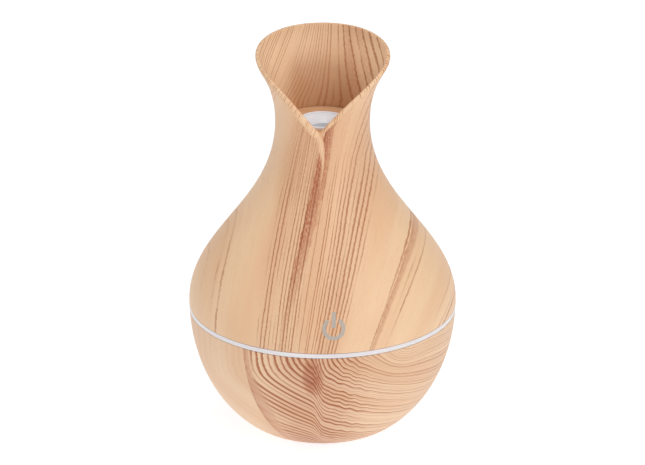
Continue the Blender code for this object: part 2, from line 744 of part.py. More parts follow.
def wires():
    """The atomiser's two wires up the neck, and the touch sensor's one along the board."""
    plug_z = BOARD_LOW_Z + BOARD_THICKNESS + GAP + 5.4 * MM
    made = []
    for name, colour, x, side in (
        ("piezo_wire_red", "red_wire", -17.5 * MM, 1),
        ("piezo_wire_black", "black_plastic", -15.0 * MM, -1),
    ):
        top = around(WIRE_CIRCLE, WIRE_AZIMUTH + side * math.radians(7))
        route = [
            (x, -10.5 * MM, plug_z),
            (x, -10.5 * MM, plug_z + 5 * MM),
            (top[0] - 3.0 * MM, top[1] - 8.0 * MM, 72 * MM),
            (*top, 90 * MM),
            (*top, 100 * MM),
            (*top, CARRIER_LOW_Z - 2 * GAP),
        ]
        made.append(wire(name, route, colour))
    sensor = around(radius_at(TOUCH_Z, WALL) - 4.0 * MM, TOUCH_AZIMUTH)
    route = [
        (sensor[0], sensor[1] + 0.3 * MM, TOUCH_Z),
        (sensor[0], sensor[1] + 4 * MM, TOUCH_Z + 0.5 * MM),
        (sensor[0] - MM, sensor[1] + 9 * MM, 55.5 * MM),
        (sensor[0] - MM, sensor[1] + 10.5 * MM, 53.2 * MM),
    ]
    made.append(wire("touch_wire", route, "black_plastic"))
    return made


# ---------------------------------------------------------------- the atomiser


def mist_nozzle():
    """The white dish in the shelf, which slopes down to the mist hole. A flange holds it from below."""
    low_z = GASKET_HIGH_Z + GAP
    flange_z = SHELF_LOW_Z - GAP
    top_z = SHELF_HIGH_Z + 0.5 * MM
    outline = [(MIST_HOLE_RADIUS, low_z), (NOZZLE_FLANGE_RADIUS, low_z)]
    outline += [(NOZZLE_FLANGE_RADIUS, flange_z), (NOZZLE_RADIUS, flange_z)]
    outline += [(NOZZLE_RADIUS, top_z - 0.5 * MM), (NOZZLE_RADIUS - 0.2 * MM, top_z - 0.1 * MM)]
    outline += [(NOZZLE_RADIUS - 0.7 * MM, top_z), (NOZZLE_RADIUS - 1.4 * MM, top_z - 0.1 * MM)]
    outline += [(MIST_HOLE_RADIUS + 1.2 * MM, low_z + 1.3 * MM), (MIST_HOLE_RADIUS, low_z + 0.9 * MM)]
    return [turned("mist_nozzle", outline, "white_plastic")]


def atomiser():
    """The silicone gasket with a slot inside it, which holds the ceramic ring and its steel mesh."""
    slot_low = GASKET_LOW_Z + 0.65 * MM
    slot_high = GASKET_HIGH_Z - 0.65 * MM
    slot_radius = GASKET_RADIUS - 0.55 * MM
    outline = [(GASKET_LIP_RADIUS, GASKET_LOW_Z), (GASKET_RADIUS, GASKET_LOW_Z)]
    outline += [(GASKET_RADIUS, GASKET_HIGH_Z), (GASKET_LIP_RADIUS, GASKET_HIGH_Z)]
    outline += [(GASKET_LIP_RADIUS, slot_high), (slot_radius, slot_high)]
    outline += [(slot_radius, slot_low), (GASKET_LIP_RADIUS, slot_low)]
    gasket = turned("atomiser_gasket", outline, "silicone")
    mesh_low = slot_low + 0.15 * MM
    mesh_high = mesh_low + 0.2 * MM
    ring_low = mesh_high + 0.15 * MM
    ring_high = ring_low + 0.4 * MM
    edge = slot_radius - 0.25 * MM
    disc = [(0, mesh_low), (edge, mesh_low), (edge, mesh_high), (0, mesh_high)]
    hole = 4 * MM
    ceramic = [(hole, ring_low), (edge, ring_low), (edge, ring_high), (hole, ring_high)]
    return [gasket, turned("mesh_disc", disc, "steel"), turned("piezo_ring", ceramic, "ceramic")]


def atomiser_carrier():
    """The cup that clamps the gasket under the shelf and takes the top of the wick's sleeve."""
    cup_inner = GASKET_RADIUS + GAP
    cup_outer = cup_inner + 0.9 * MM
    tube_outer = CARRIER_TUBE_RADIUS + 1.2 * MM
    bore = WICK_RADIUS + 0.6 * MM
    shoulder_z = CARRIER_LOW_Z - 1.2 * MM
    outline = [(CARRIER_TUBE_RADIUS, CARRIER_TUBE_Z), (tube_outer, CARRIER_TUBE_Z)]
    outline += [(tube_outer, CARRIER_LOW_Z), (CARRIER_RADIUS, CARRIER_LOW_Z)]
    outline += [(CARRIER_RADIUS, CARRIER_FLOOR_Z), (cup_outer, CARRIER_FLOOR_Z)]
    outline += [(cup_outer, GASKET_HIGH_Z), (cup_inner, GASKET_HIGH_Z)]
    outline += [(cup_inner, CARRIER_FLOOR_Z), (bore, CARRIER_FLOOR_Z)]
    outline += [(bore, shoulder_z), (CARRIER_TUBE_RADIUS, shoulder_z)]
    carrier = turned("atomiser_carrier", outline, "white_plastic")
    through = (CARRIER_LOW_Z - MM, CARRIER_FLOOR_Z + MM)
    above = (CARRIER_FLOOR_Z, GASKET_HIGH_Z + MM)
    for azimuth in THIRDS:
        centre = around(SHELF_BOSS_CIRCLE, azimuth)
        hole = cylinder("hole", centre, SCREW_HOLE_RADIUS, *through, None, SCREW_STEPS)
        combine(carrier, hole, "DIFFERENCE")
        relief = cylinder("relief", centre, SHELF_BOSS_RADIUS + GAP, *above, None)
        combine(carrier, relief, "DIFFERENCE")
    return [carrier]


# ---------------------------------------------------------------- the wick


def wick_sleeve():
    grip_high = SOCKET_LOW_Z - GAP
    grip_low = grip_high - 1.6 * MM
    groove_radius = SLEEVE_COLLAR_RADIUS - 1.0 * MM
    groove_half = O_RING_WIRE + 0.25 * MM
    collar_high = O_RING_Z + 3.0 * MM
    groove_low = O_RING_Z - groove_half
    groove_high = O_RING_Z + groove_half
    outline = [(SLEEVE_BORE, SLEEVE_LOW_Z), (SLEEVE_RADIUS, SLEEVE_LOW_Z)]
    outline += [(SLEEVE_RADIUS, grip_low), (SLEEVE_GRIP_RADIUS, grip_low)]
    outline += [(SLEEVE_GRIP_RADIUS, grip_high), (SLEEVE_COLLAR_RADIUS, grip_high)]
    outline += [(SLEEVE_COLLAR_RADIUS, groove_low), (groove_radius, groove_low)]
    outline += [(groove_radius, groove_high), (SLEEVE_COLLAR_RADIUS, groove_high)]
    outline += [(SLEEVE_COLLAR_RADIUS, collar_high - MM), (SLEEVE_RADIUS, collar_high)]
    outline += [(SLEEVE_RADIUS, SLEEVE_HIGH_Z), (SLEEVE_BORE, SLEEVE_HIGH_Z)]
    sleeve = turned("wick_sleeve", outline, "white_plastic", SMALL_STEPS)
    half = SLOT_WIDTH / 2
    for turn in (0, math.pi / 2):
        slot = box("slot", (-CAP_RADIUS, -half, SLOT_LOW_Z), (CAP_RADIUS, half, SLOT_HIGH_Z), None)
        slot.rotation_euler = (0, 0, turn)
        bpy.context.view_layer.update()
        combine(sleeve, slot, "DIFFERENCE")
    return [sleeve]


def sleeve_o_ring():
    middle = SLEEVE_COLLAR_RADIUS - 0.85 * MM + O_RING_WIRE
    outline = []
    for i in range(8):
        a = math.tau * i / 8
        outline.append((middle + O_RING_WIRE * math.cos(a), O_RING_Z + O_RING_WIRE * math.sin(a)))
    return [turned("sleeve_o_ring", outline, "silicone", SMALL_STEPS)]


def sleeve_end_cap():
    inner = SLEEVE_RADIUS + GAP
    outline = [(0, CAP_LOW_Z), (CAP_RADIUS - 0.8 * MM, CAP_LOW_Z), (CAP_RADIUS, CAP_LOW_Z + 0.8 * MM)]
    outline += [(CAP_RADIUS, CAP_HIGH_Z), (inner, CAP_HIGH_Z), (inner, CAP_FLOOR_Z), (0, CAP_FLOOR_Z)]
    cap = turned("sleeve_end_cap", outline, "white_plastic", SMALL_STEPS)
    for i in range(4):
        centre = around(2.6 * MM, math.tau * (i + 0.5) / 4)
        hole = cylinder("hole", centre, 0.9 * MM, CAP_LOW_Z - MM, CAP_FLOOR_Z + MM, None, SCREW_STEPS)
        combine(cap, hole, "DIFFERENCE")
    return [cap]


def wick_spring():
    """A coil of wire whose first and last half turns lie flat."""
    curve = bpy.data.curves.new("wick_spring", "CURVE")
    curve.dimensions = "3D"
    curve.bevel_depth = SPRING_WIRE_RADIUS
    curve.bevel_resolution = 0
    curve.use_fill_caps = True
    per_turn = 12
    count = SPRING_TURNS * per_turn
    spline = curve.splines.new("POLY")
    spline.points.add(count)
    low = SPRING_LOW_Z + SPRING_WIRE_RADIUS
    height = SPRING_HIGH_Z - SPRING_LOW_Z - 2 * SPRING_WIRE_RADIUS
    closed_pitch = 1.4 * MM
    open_pitch = (height - closed_pitch) / (SPRING_TURNS - 1)
    for i in range(count + 1):
        turn = i / per_turn
        opened = min(max(turn - 0.5, 0.0), SPRING_TURNS - 1.0)
        z = low + closed_pitch * (turn - opened) + open_pitch * opened
        spline.points[i].co = (*around(SPRING_RADIUS, math.tau * turn), z, 1.0)
    curve.materials.append(material("steel"))
    obj = bpy.data.objects.new("wick_spring", curve)
    bpy.context.scene.collection.objects.link(obj)
    return [obj]


def wick():
    round_off = 0.6 * MM
    edge = WICK_RADIUS - round_off
    outline = [(0, WICK_LOW_Z), (edge, WICK_LOW_Z), (WICK_RADIUS, WICK_LOW_Z + round_off)]
    outline += [(WICK_RADIUS, WICK_HIGH_Z - round_off), (edge, WICK_HIGH_Z), (0, WICK_HIGH_Z)]
    return [turned("wick", outline, "cotton", SMALL_STEPS)]


HOUSING = (
    upper_shell,
    neck_shelf,
    light_ring,
    chassis,
    screws,
    main_board,
    leds,
    board_components,
    usb_socket,
    touch_board,
    wires,
    mist_nozzle,
    atomiser,
    atomiser_carrier,
)

BODIES = [  # name, the body that carries it, and what makes its pieces
    ("base_body", None, (lower_shell, tank_liner, feet)),
    ("seal_body", "base_body", (tank_seal,)),
    ("housing_body", "seal_body", HOUSING),
    ("sleeve_body", "housing_body", (wick_sleeve, sleeve_o_ring, wick_spring)),
    ("end_cap_body", "sleeve_body", (sleeve_end_cap,)),
    ("wick_body", "sleeve_body", (wick,)),
]


def main():
    clear_scene()
    groups = {}
    for body, carrier, makers in BODIES:
        groups[body] = parent(body)
        groups[body].parent = groups.get(carrier)
        for make in makers:
            for obj in make():
                obj.parent = groups[body]


main()
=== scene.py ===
import json
import math

import bmesh
import bpy
import numpy as np
from mathutils import Matrix, Vector

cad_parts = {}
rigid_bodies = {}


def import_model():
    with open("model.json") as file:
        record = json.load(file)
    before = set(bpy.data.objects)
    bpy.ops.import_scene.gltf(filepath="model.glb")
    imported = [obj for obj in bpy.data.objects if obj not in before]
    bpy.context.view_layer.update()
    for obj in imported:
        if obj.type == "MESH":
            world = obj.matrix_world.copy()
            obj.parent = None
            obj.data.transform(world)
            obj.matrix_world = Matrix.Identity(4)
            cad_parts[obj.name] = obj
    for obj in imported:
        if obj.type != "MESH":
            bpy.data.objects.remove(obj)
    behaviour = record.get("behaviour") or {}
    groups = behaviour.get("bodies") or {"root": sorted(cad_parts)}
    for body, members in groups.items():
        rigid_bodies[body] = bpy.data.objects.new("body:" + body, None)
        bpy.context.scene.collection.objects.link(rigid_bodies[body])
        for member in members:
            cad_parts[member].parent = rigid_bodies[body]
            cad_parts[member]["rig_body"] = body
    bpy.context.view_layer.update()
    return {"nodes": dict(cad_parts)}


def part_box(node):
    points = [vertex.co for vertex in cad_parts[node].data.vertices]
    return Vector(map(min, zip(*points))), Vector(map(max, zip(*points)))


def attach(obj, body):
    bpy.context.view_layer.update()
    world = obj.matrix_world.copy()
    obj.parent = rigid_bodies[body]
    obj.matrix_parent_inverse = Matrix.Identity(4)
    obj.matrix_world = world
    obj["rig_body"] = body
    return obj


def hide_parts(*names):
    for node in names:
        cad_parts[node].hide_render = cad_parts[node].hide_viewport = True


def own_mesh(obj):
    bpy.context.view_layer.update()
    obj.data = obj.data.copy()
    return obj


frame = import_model()

# A vase-shaped aroma diffuser, printed all over with pine grain. Metres, +Z up, the front at -Y.
# Azimuths are measured from the front towards +X.

MM = 0.001
TINY = 1e-9
SHARP = math.radians(35)

# ---------------------------------------------------------------- sizes

SHELL_LOW, SHELL_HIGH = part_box("upper_shell")
SHELF_LOW, SHELF_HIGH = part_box("neck_shelf")

BODY_RADIUS = 48.95 * MM
EQUATOR_Z = 47.4 * MM
BASE_RADIUS = 27.6 * MM
BASE_Z = 0.8 * MM
BASE_SLOPE = math.radians(32.7)
NECK_RADIUS = 17.1 * MM
NECK_Z = 116.35 * MM
RIM_RADIUS = 24.9 * MM
RIM_Z = SHELL_HIGH.z - 0.02 * MM
NOTCH_DEPTH = 28.0 * MM
NOTCH_POWER = 1.33
WALL = 1.8 * MM
RIM_SLOPE = math.radians(101)
GAP = 0.3 * MM

# How far the outside curve's handles reach from its four ends
BASE_REACH = 12.8 * MM
BOWL_REACH = 23.4 * MM
SHOULDER_REACH = 22.9 * MM
LOWER_NECK_REACH = 31.3 * MM
UPPER_NECK_REACH = 18.3 * MM
RIM_REACH = 9.0 * MM

PETAL_STEP = 1.5 * MM
PETAL_SPREAD = math.radians(70)
PETAL_EDGE = 1.9 * MM
LIP_WIDE = 2.2 * MM
LIP_NARROW = 1.0 * MM
LIP_START = math.radians(24)
INNER_ROUND = 0.3 * MM
SEAM_BOTTOM_Z = 76.0 * MM
SEAM_FULL_Z = 112.0 * MM
SEAM_HEIGHTS = np.array([76.0, 91.0, 102.4, 108.0, 114.0, 117.4]) * MM
SEAM_AZIMUTHS = np.radians([-9.0, -5.4, 0.0, 2.5, 2.1, -3.2])
SEAM_SPREAD = math.radians(60)

THIRDS = [math.radians(a) for a in (60, 180, 300)]
OPPOSITE = [azimuth + math.pi for azimuth in THIRDS]
SIXTHS = [math.radians(30 + 60 * i) for i in range(6)]
CHASSIS_PLATE_Z = 48.1 * MM
BOSS_CIRCLE = 34.0 * MM
POST_CIRCLE = 28.0 * MM
SHELF_BOSS_CIRCLE = 12.1 * MM
SCREW_HOLE = 1.3 * MM
SHELL_BOSS = 2.6 * MM
USB_WINDOW = (11.4 * MM, 7.4 * MM)
FOOT_PADS = [f"foot_pad_{i + 1}" for i in range(4)]

# The touch symbol's ring, and its centre's place right of the front and above the equator, in mm
SYMBOL_RADIUS = 3.45
SYMBOL_RIGHT = 4.0
SYMBOL_UP = 8.0


def bezier(ends, count=160):
    """Points on a cubic curve, as an array."""
    t = np.linspace(0, 1, count)[:, None]
    p0, p1, p2, p3 = (np.array(p, float) for p in ends)
    return (1 - t) ** 3 * p0 + 3 * (1 - t) ** 2 * t * p1 + 3 * (1 - t) * t**2 * p2 + t**3 * p3


def outside_curve():
    """The outer surface's (radius, z) points from the base's corner to the back of the rim."""
    base = (BASE_RADIUS, BASE_Z)
    leave = (BASE_RADIUS + BASE_REACH * math.cos(BASE_SLOPE), BASE_Z + BASE_REACH * math.sin(BASE_SLOPE))
    equator = (BODY_RADIUS, EQUATOR_Z)
    swell = (BODY_RADIUS, EQUATOR_Z + SHOULDER_REACH)
    narrow = (NECK_RADIUS, NECK_Z - LOWER_NECK_REACH)
    neck = (NECK_RADIUS, NECK_Z)
    arrive = (RIM_RADIUS - RIM_REACH * math.cos(RIM_SLOPE), RIM_Z - RIM_REACH * math.sin(RIM_SLOPE))
    bowl = (base, leave, (BODY_RADIUS, EQUATOR_Z - BOWL_REACH), equator)
    shoulder = (equator, swell, narrow, neck)
    collar = (neck, (NECK_RADIUS, NECK_Z + UPPER_NECK_REACH), arrive, (RIM_RADIUS, RIM_Z))
    return np.vstack([bezier(bowl), bezier(shoulder)[1:], bezier(collar)[1:]])


OUTSIDE = outside_curve()
STEPS = np.hypot(*np.diff(OUTSIDE, axis=0).T)
TRAVEL = np.concatenate([[0.0], np.cumsum(STEPS)])


def inset_curve(depth):
    """The outside moved inwards by depth, at right angles to itself."""
    slope = np.gradient(OUTSIDE, axis=0)
    slope /= np.hypot(slope[:, 0], slope[:, 1])[:, None]
    return np.column_stack([OUTSIDE[:, 0] - depth * slope[:, 1], OUTSIDE[:, 1] + depth * slope[:, 0]])


def radius_at(z, depth=0.0):
    """The radius of the outside, inset by depth, at a height or an array of heights."""
    curve = inset_curve(depth)
    return np.interp(z, curve[:, 1], curve[:, 0])


def travel_at(z):
    """The distance along the outside from the base's corner up to a height."""
    return np.interp(z, OUTSIDE[:, 1], TRAVEL)


def smooth(share):
    """0 to 1 with level ends."""
    share = np.clip(share, 0.0, 1.0)
    return share * share * (3 - 2 * share)


def bump(value, centre, width):
    """A bell of height 1."""
    return np.exp(-(((value - centre) / width) ** 2))


def soft_min(a, b, width):
    return -width * np.logaddexp(-a / width, -b / width)


def seam_azimuth(z):
    """The overlap's edge, as a smooth curve through its turning points."""
    fine = np.linspace(SEAM_HEIGHTS[0], SEAM_HEIGHTS[-1], 120)
    weights = np.hanning(15)
    reach = len(weights) // 2
    padded = np.pad(np.interp(fine, SEAM_HEIGHTS, SEAM_AZIMUTHS), reach, "reflect", reflect_type="odd")
    return np.interp(z, fine, np.convolve(padded, weights / weights.sum(), mode="valid"))


def past_seam(x, y):
    """The angle past the overlap's edge at the rim."""
    azimuth = np.arctan2(x, -y)
    return azimuth - SEAM_AZIMUTHS[-1] * (1 - smooth(np.abs(azimuth) / SEAM_SPREAD))


# ---------------------------------------------------------------- camera, light and floor


def camera():
    data = bpy.data.cameras.new("camera")
    obj = bpy.data.objects.new("camera", data)
    bpy.context.scene.collection.objects.link(obj)
    distance = 1.204
    elevation = math.radians(22.14)
    target = Vector((0, 0, 72.7 * MM))
    obj.location = target + distance * Vector((0, -math.cos(elevation), math.sin(elevation)))
    obj.rotation_euler = (target - obj.location).to_track_quat("-Z", "Y").to_euler()
    data.sensor_width = 36.0
    data.lens = 184.3
    data.clip_start = 0.01
    data.clip_end = 20
    bpy.context.scene.camera = obj


def area_light(name, place, aim, size, power, colour=(1, 1, 1)):
    data = bpy.data.lights.new(name, "AREA")
    data.shape = "RECTANGLE"
    data.size, data.size_y = size
    data.energy = power
    data.color = colour
    obj = bpy.data.objects.new(name, data)
    bpy.context.scene.collection.objects.link(obj)
    obj.location = place
    obj.rotation_euler = (Vector(aim) - Vector(place)).to_track_quat("-Z", "Y").to_euler()


def studio():
    bpy.context.scene.view_settings.view_transform = "Standard"
    world = bpy.data.worlds.new("studio")
    bpy.context.scene.world = world
    world.use_nodes = True
    background = world.node_tree.nodes["Background"]
    background.inputs["Color"].default_value = (1.0, 0.985, 0.97, 1)
    background.inputs["Strength"].default_value = 0.40
    middle = (0, 0, 0.07)
    area_light("key", (0.75, -1.05, 0.95), middle, (0.9, 0.9), 8.0, (1.0, 0.985, 0.96))
    area_light("fill", (-1.2, -0.8, 0.6), middle, (1.0, 1.0), 1.5, (1.0, 0.97, 0.97))
    area_light("top", (-0.1, -0.1, 1.4), middle, (0.9, 0.9), 6.0)


def floor():
    mesh = bpy.data.meshes.new("floor")
    corners = [(-3.0, -3.0, 0), (3.0, -3.0, 0), (3.0, 3.0, 0), (-3.0, 3.0, 0)]
    mesh.from_pydata(corners, [], [(0, 1, 2, 3)])
    obj = bpy.data.objects.new("floor", mesh)
    bpy.context.scene.collection.objects.link(obj)
    mat = bpy.data.materials.new("floor_paper")
    mat.use_nodes = True
    shader = mat.node_tree.nodes["Principled BSDF"]
    shader.inputs["Base Color"].default_value = (0.46, 0.46, 0.46, 1)
    shader.inputs["Roughness"].default_value = 0.9
    shader.inputs["Emission Color"].default_value = (0.92, 0.955, 1, 1)
    shader.inputs["Emission Strength"].default_value = 0.78
    mesh.materials.append(mat)


camera()
studio()
floor()

# ---------------------------------------------------------------- material nodes


def srgb(red, green, blue):
    """A linear colour from 0-255 screen values."""
    channels = []
    for value in (red, green, blue):
        share = value / 255
        channels.append(share / 12.92 if share <= 0.04045 else ((share + 0.055) / 1.055) ** 2.4)
    return (*channels, 1.0)


class Value:
    """A node's output. Arithmetic with it adds Math nodes."""

    def __init__(self, tree, socket):
        self.tree, self.socket = tree, socket

    def __add__(self, other):
        return self.tree.math("ADD", self, other)

    def __sub__(self, other):
        return self.tree.math("SUBTRACT", self, other)

    def __rsub__(self, other):
        return self.tree.math("SUBTRACT", other, self)

    def __mul__(self, other):
        return self.tree.math("MULTIPLY", self, other)

    def __truediv__(self, other):
        return self.tree.math("DIVIDE", self, other)

    def __abs__(self):
        return self.tree.math("ABSOLUTE", self)

    __radd__, __rmul__ = __add__, __mul__


class Tree:
    """Short names for building one material's nodes."""

    def __init__(self, name):
        self.material = bpy.data.materials.new(name)
        self.material.use_nodes = True
        self.nodes = self.material.node_tree.nodes
        self.shader = self.nodes["Principled BSDF"]

    def feed(self, socket, value):
        if isinstance(value, Value):
            self.material.node_tree.links.new(value.socket, socket)
        else:
            socket.default_value = value

    def add(self, kind, inputs, output=0, **settings):
        """A new node's output. inputs is a dictionary by name, or a tuple in the node's own order."""
        node = self.nodes.new("ShaderNode" + kind)
        for name, setting in settings.items():
            setattr(node, name, setting)
        for key, value in inputs.items() if isinstance(inputs, dict) else enumerate(inputs):
            self.feed(node.inputs[key], value)
        return Value(self, node.outputs[output])

    def math(self, operation, *values):
        return self.add("Math", values, operation=operation)

    def most(self, a, b):
        return self.math("MAXIMUM", a, b)

    def span(self, value, low, high, to_low=0.0, to_high=1.0, curve="SMOOTHSTEP"):
        """Takes low to high over to to_low to to_high, and stays level outside them."""
        return self.add("MapRange", (value, low, high, to_low, to_high), interpolation_type=curve)

    def mix(self, share, a, b):
        return self.add("Mix", {0: share, 6: a, 7: b}, 2, data_type="RGBA")

    def vector(self, x, y, z):
        return self.add("CombineXYZ", (x, y, z))

    def noise(self, vector, scale=1.0, detail=2.0, roughness=0.5):
        inputs = {"Vector": vector, "Scale": scale, "Detail": detail, "Roughness": roughness}
        return self.add("TexNoise", inputs, "Fac")

    def random(self, value):
        return self.add("TexWhiteNoise", {"W": value}, "Value", noise_dimensions="1D")

    def cells(self, vector, scale, feature="F1"):
        return self.add("TexVoronoi", {"Vector": vector, "Scale": scale}, "Distance", feature=feature)

    def ramp(self, value, stops, low=-60, high=60):
        """A ramp over low to high whose stops are (place, level)."""
        node = self.nodes.new("ShaderNodeValToRGB")
        elements = node.color_ramp.elements
        while len(elements) < len(stops):
            elements.new(0.5)
        for element, (at, level) in zip(elements, stops):
            element.position = (at - low) / (high - low)
            element.color = (level, level, level, 1)
        self.feed(node.inputs["Fac"], self.span(value, low, high, curve="LINEAR"))
        return Value(self, node.outputs["Color"])

    def split(self, vector):
        node = self.nodes.new("ShaderNodeSeparateXYZ")
        self.feed(node.inputs[0], vector)
        return [Value(self, output) for output in node.outputs]

    def attribute(self, name):
        return self.split(self.add("Attribute", (), "Vector", attribute_name=name))

    def place(self):
        """Position in the piece's own axes, in metres."""
        return self.add("TexCoord", (), "Object")

    def bump(self, height, distance, strength=1.0):
        inputs = {"Strength": strength, "Distance": distance, "Height": height}
        self.feed(self.shader.inputs["Normal"], self.add("Bump", inputs))

    def finish(self, colour, roughness, metallic=0.0, **others):
        inputs = {"Base_Color": colour, "Roughness": roughness, "Metallic": metallic, **others}
        for name, value in inputs.items():
            self.feed(self.shader.inputs[name.replace("_", " ")], value)
        return self.material


# ---------------------------------------------------------------- wood grain print

PALE = srgb(240, 204, 166)
WARM = srgb(233, 190, 150)
# The collar's inner walls are a lighter tone than the outside: painted light, standing in for the light near
# the rim.
LIT_CREAM = srgb(252, 216, 178)
BOWL_PALE = srgb(240, 207, 172)
BOWL_WARM = srgb(233, 193, 156)
LINE = srgb(178, 108, 65)
STAIN = srgb(180, 106, 72)
DEEP = srgb(140, 76, 50)
# UMBER is the tone that dim darkens towards; inside the collar this is painted shade.
UMBER = srgb(184, 134, 92)
INK = srgb(178, 172, 164)

# Places in the grain are in mm. Each spacing is a list of (distance across the grain, gap between lines).
FAR = 160
UPPER_SPACING = [
    (-FAR, 2.4), (-40, 2.2), (-27, 1.8), (-21, 1.35), (-15, 1.2), (-11, 1.0), (-9, 0.8), (-3.5, 0.8),
    (-2.5, 1.2), (7, 1.25), (9, 1.6), (30, 2.2), (FAR, 2.4),
]  # fmt: skip
BOWL_SPACING = [(-FAR, 2.3), (-60, 2.1), (-20, 2.1), (-10, 1.95), (0, 1.6), (8, 1.5), (20, 1.9), (FAR, 2.3)]
INNER_SPACING = [(-FAR, 0.9), (-20, 0.85), (0, 0.8), (5, 1.2), (7, 2.1), (24, 2.6), (FAR, 2.6)]
LIP_SPACING = [(-FAR, 0.9), (FAR, 0.9)]


def grain_count(across, spacing):
    """Turns a distance across the grain into a count of lines."""
    places = np.linspace(-FAR, FAR, 3201)
    gaps = np.interp(places, *zip(*spacing))
    steps = 0.5 * (1 / gaps[1:] + 1 / gaps[:-1]) * np.diff(places)
    return np.interp(across, places, np.concatenate([[0.0], np.cumsum(steps)]))


class Grain(Tree):
    """Pine grain on a mesh whose "grain" attribute holds the distance across the grain, the distance along
    it, and the count of lines. Its "mark" attribute holds what the print's own marks need, and what places
    the painted highlight on the overlap's edge and the painted shade inside the collar."""

    def __init__(self, name, seed):
        super().__init__(name)
        self.seed = seed
        self.across, self.along, self.count = self.attribute("grain")
        self.mark = self.attribute("mark")

    def cloud(self, per_across, per_along, detail=2.0, shift=0.0):
        """Noise that is longer along the grain than across it."""
        place = self.vector(self.across * per_across, self.along * per_along, self.seed + shift)
        return self.noise(place, 1.0, detail)

    def lines(self, amount, thick, wander=1.0, rate=1.0):
        """The dark lines. amount, from 0 to 1, is how many of them there are and how dark they get. thick is
        a line's share of the space between two, and rate multiplies their number."""
        drift = self.cloud(0.15, 0.04, 3.0) - 0.5
        shake = self.cloud(0.9, 0.95, 2.0, 5.0) - 0.5
        turn = self.count * rate + drift * wander + shake * 0.36
        whole = self.math("FLOOR", turn)
        part = self.math("FRACT", turn)
        patch = self.vector(whole * 5.7, self.along * 0.07, self.seed)
        weight = self.random(whole + self.seed * 17.3) + (self.noise(patch) - 0.5) * 1.1
        least = 0.95 - amount
        there = self.span(weight, least - 0.3, least + 0.35)
        start = self.span(weight, 0.0, 1.0, 1.0, 0.86, "LINEAR") - thick
        return self.span(part, start, start + thick * 0.6) * self.span(part, 0.88, 1.0, 1.0, 0.0) * there

    def streak(self, left, width, strength):
        """A reddish band with a sharp dark left edge and a soft right one."""
        rough = (self.cloud(0.9, 0.35, 3.0, 9.0) - 0.5) * 0.5
        stops = [(-0.3, 0.0), (-0.1, 0.15), (0.0, 1.0), (0.25, 0.9), (0.6, 0.72), (0.9, 0.6)]
        stops += [(1.1, 0.1), (1.4, 0.0)]
        return self.ramp((self.across - left) / width + rough, stops, -1.0, 2.0) * strength

    def wood(self, line, stain, calm=0.0, ink=0.0, dim=0.0, tones=(PALE, WARM), bold=1.0):
        """Lays the wood's tone, the stains, the lines and any ink over each other. calm hides the lines, dim
        darkens the tone towards UMBER (inside the collar this is painted shade), and bold darkens the lines."""
        fibre = self.cloud(2.6, 0.10, 3.0, 2.0)
        broad = self.cloud(0.10, 0.015, 2.0, 3.0)
        fleck = self.cloud(3.6, 0.9, 2.0, 4.0)
        pores = self.span(self.cloud(4.5, 0.6, 2.0, 6.0), 0.56, 0.70)
        line = line * (1.0 - calm)
        stain = self.span(fleck, 0.35, 0.62, 0.55, 1.08) * stain
        colour = self.mix(self.span(broad, 0.34, 0.66), *tones)
        colour = self.mix(self.span(fibre, 0.4, 0.7) * 0.36, colour, tones[1])
        colour = self.mix(pores * 0.10, colour, LINE)
        colour = self.mix(dim, colour, UMBER)
        colour = self.mix(stain, colour, STAIN)
        colour = self.mix(line * self.span(fleck, 0.3, 0.6, 0.62 * bold, 0.8 * bold), colour, LINE)
        colour = self.mix(line * (stain * 0.75 + 0.12), colour, DEEP)
        colour = self.mix(ink * 0.88, colour, INK)
        self.bump(fibre * 0.35 - line * 0.6, 0.02 * MM, 0.5)
        return self.finish(colour, self.span(fibre, 0.2, 0.8, 0.42, 0.52, "LINEAR"), Specular_IOR_Level=0.35)


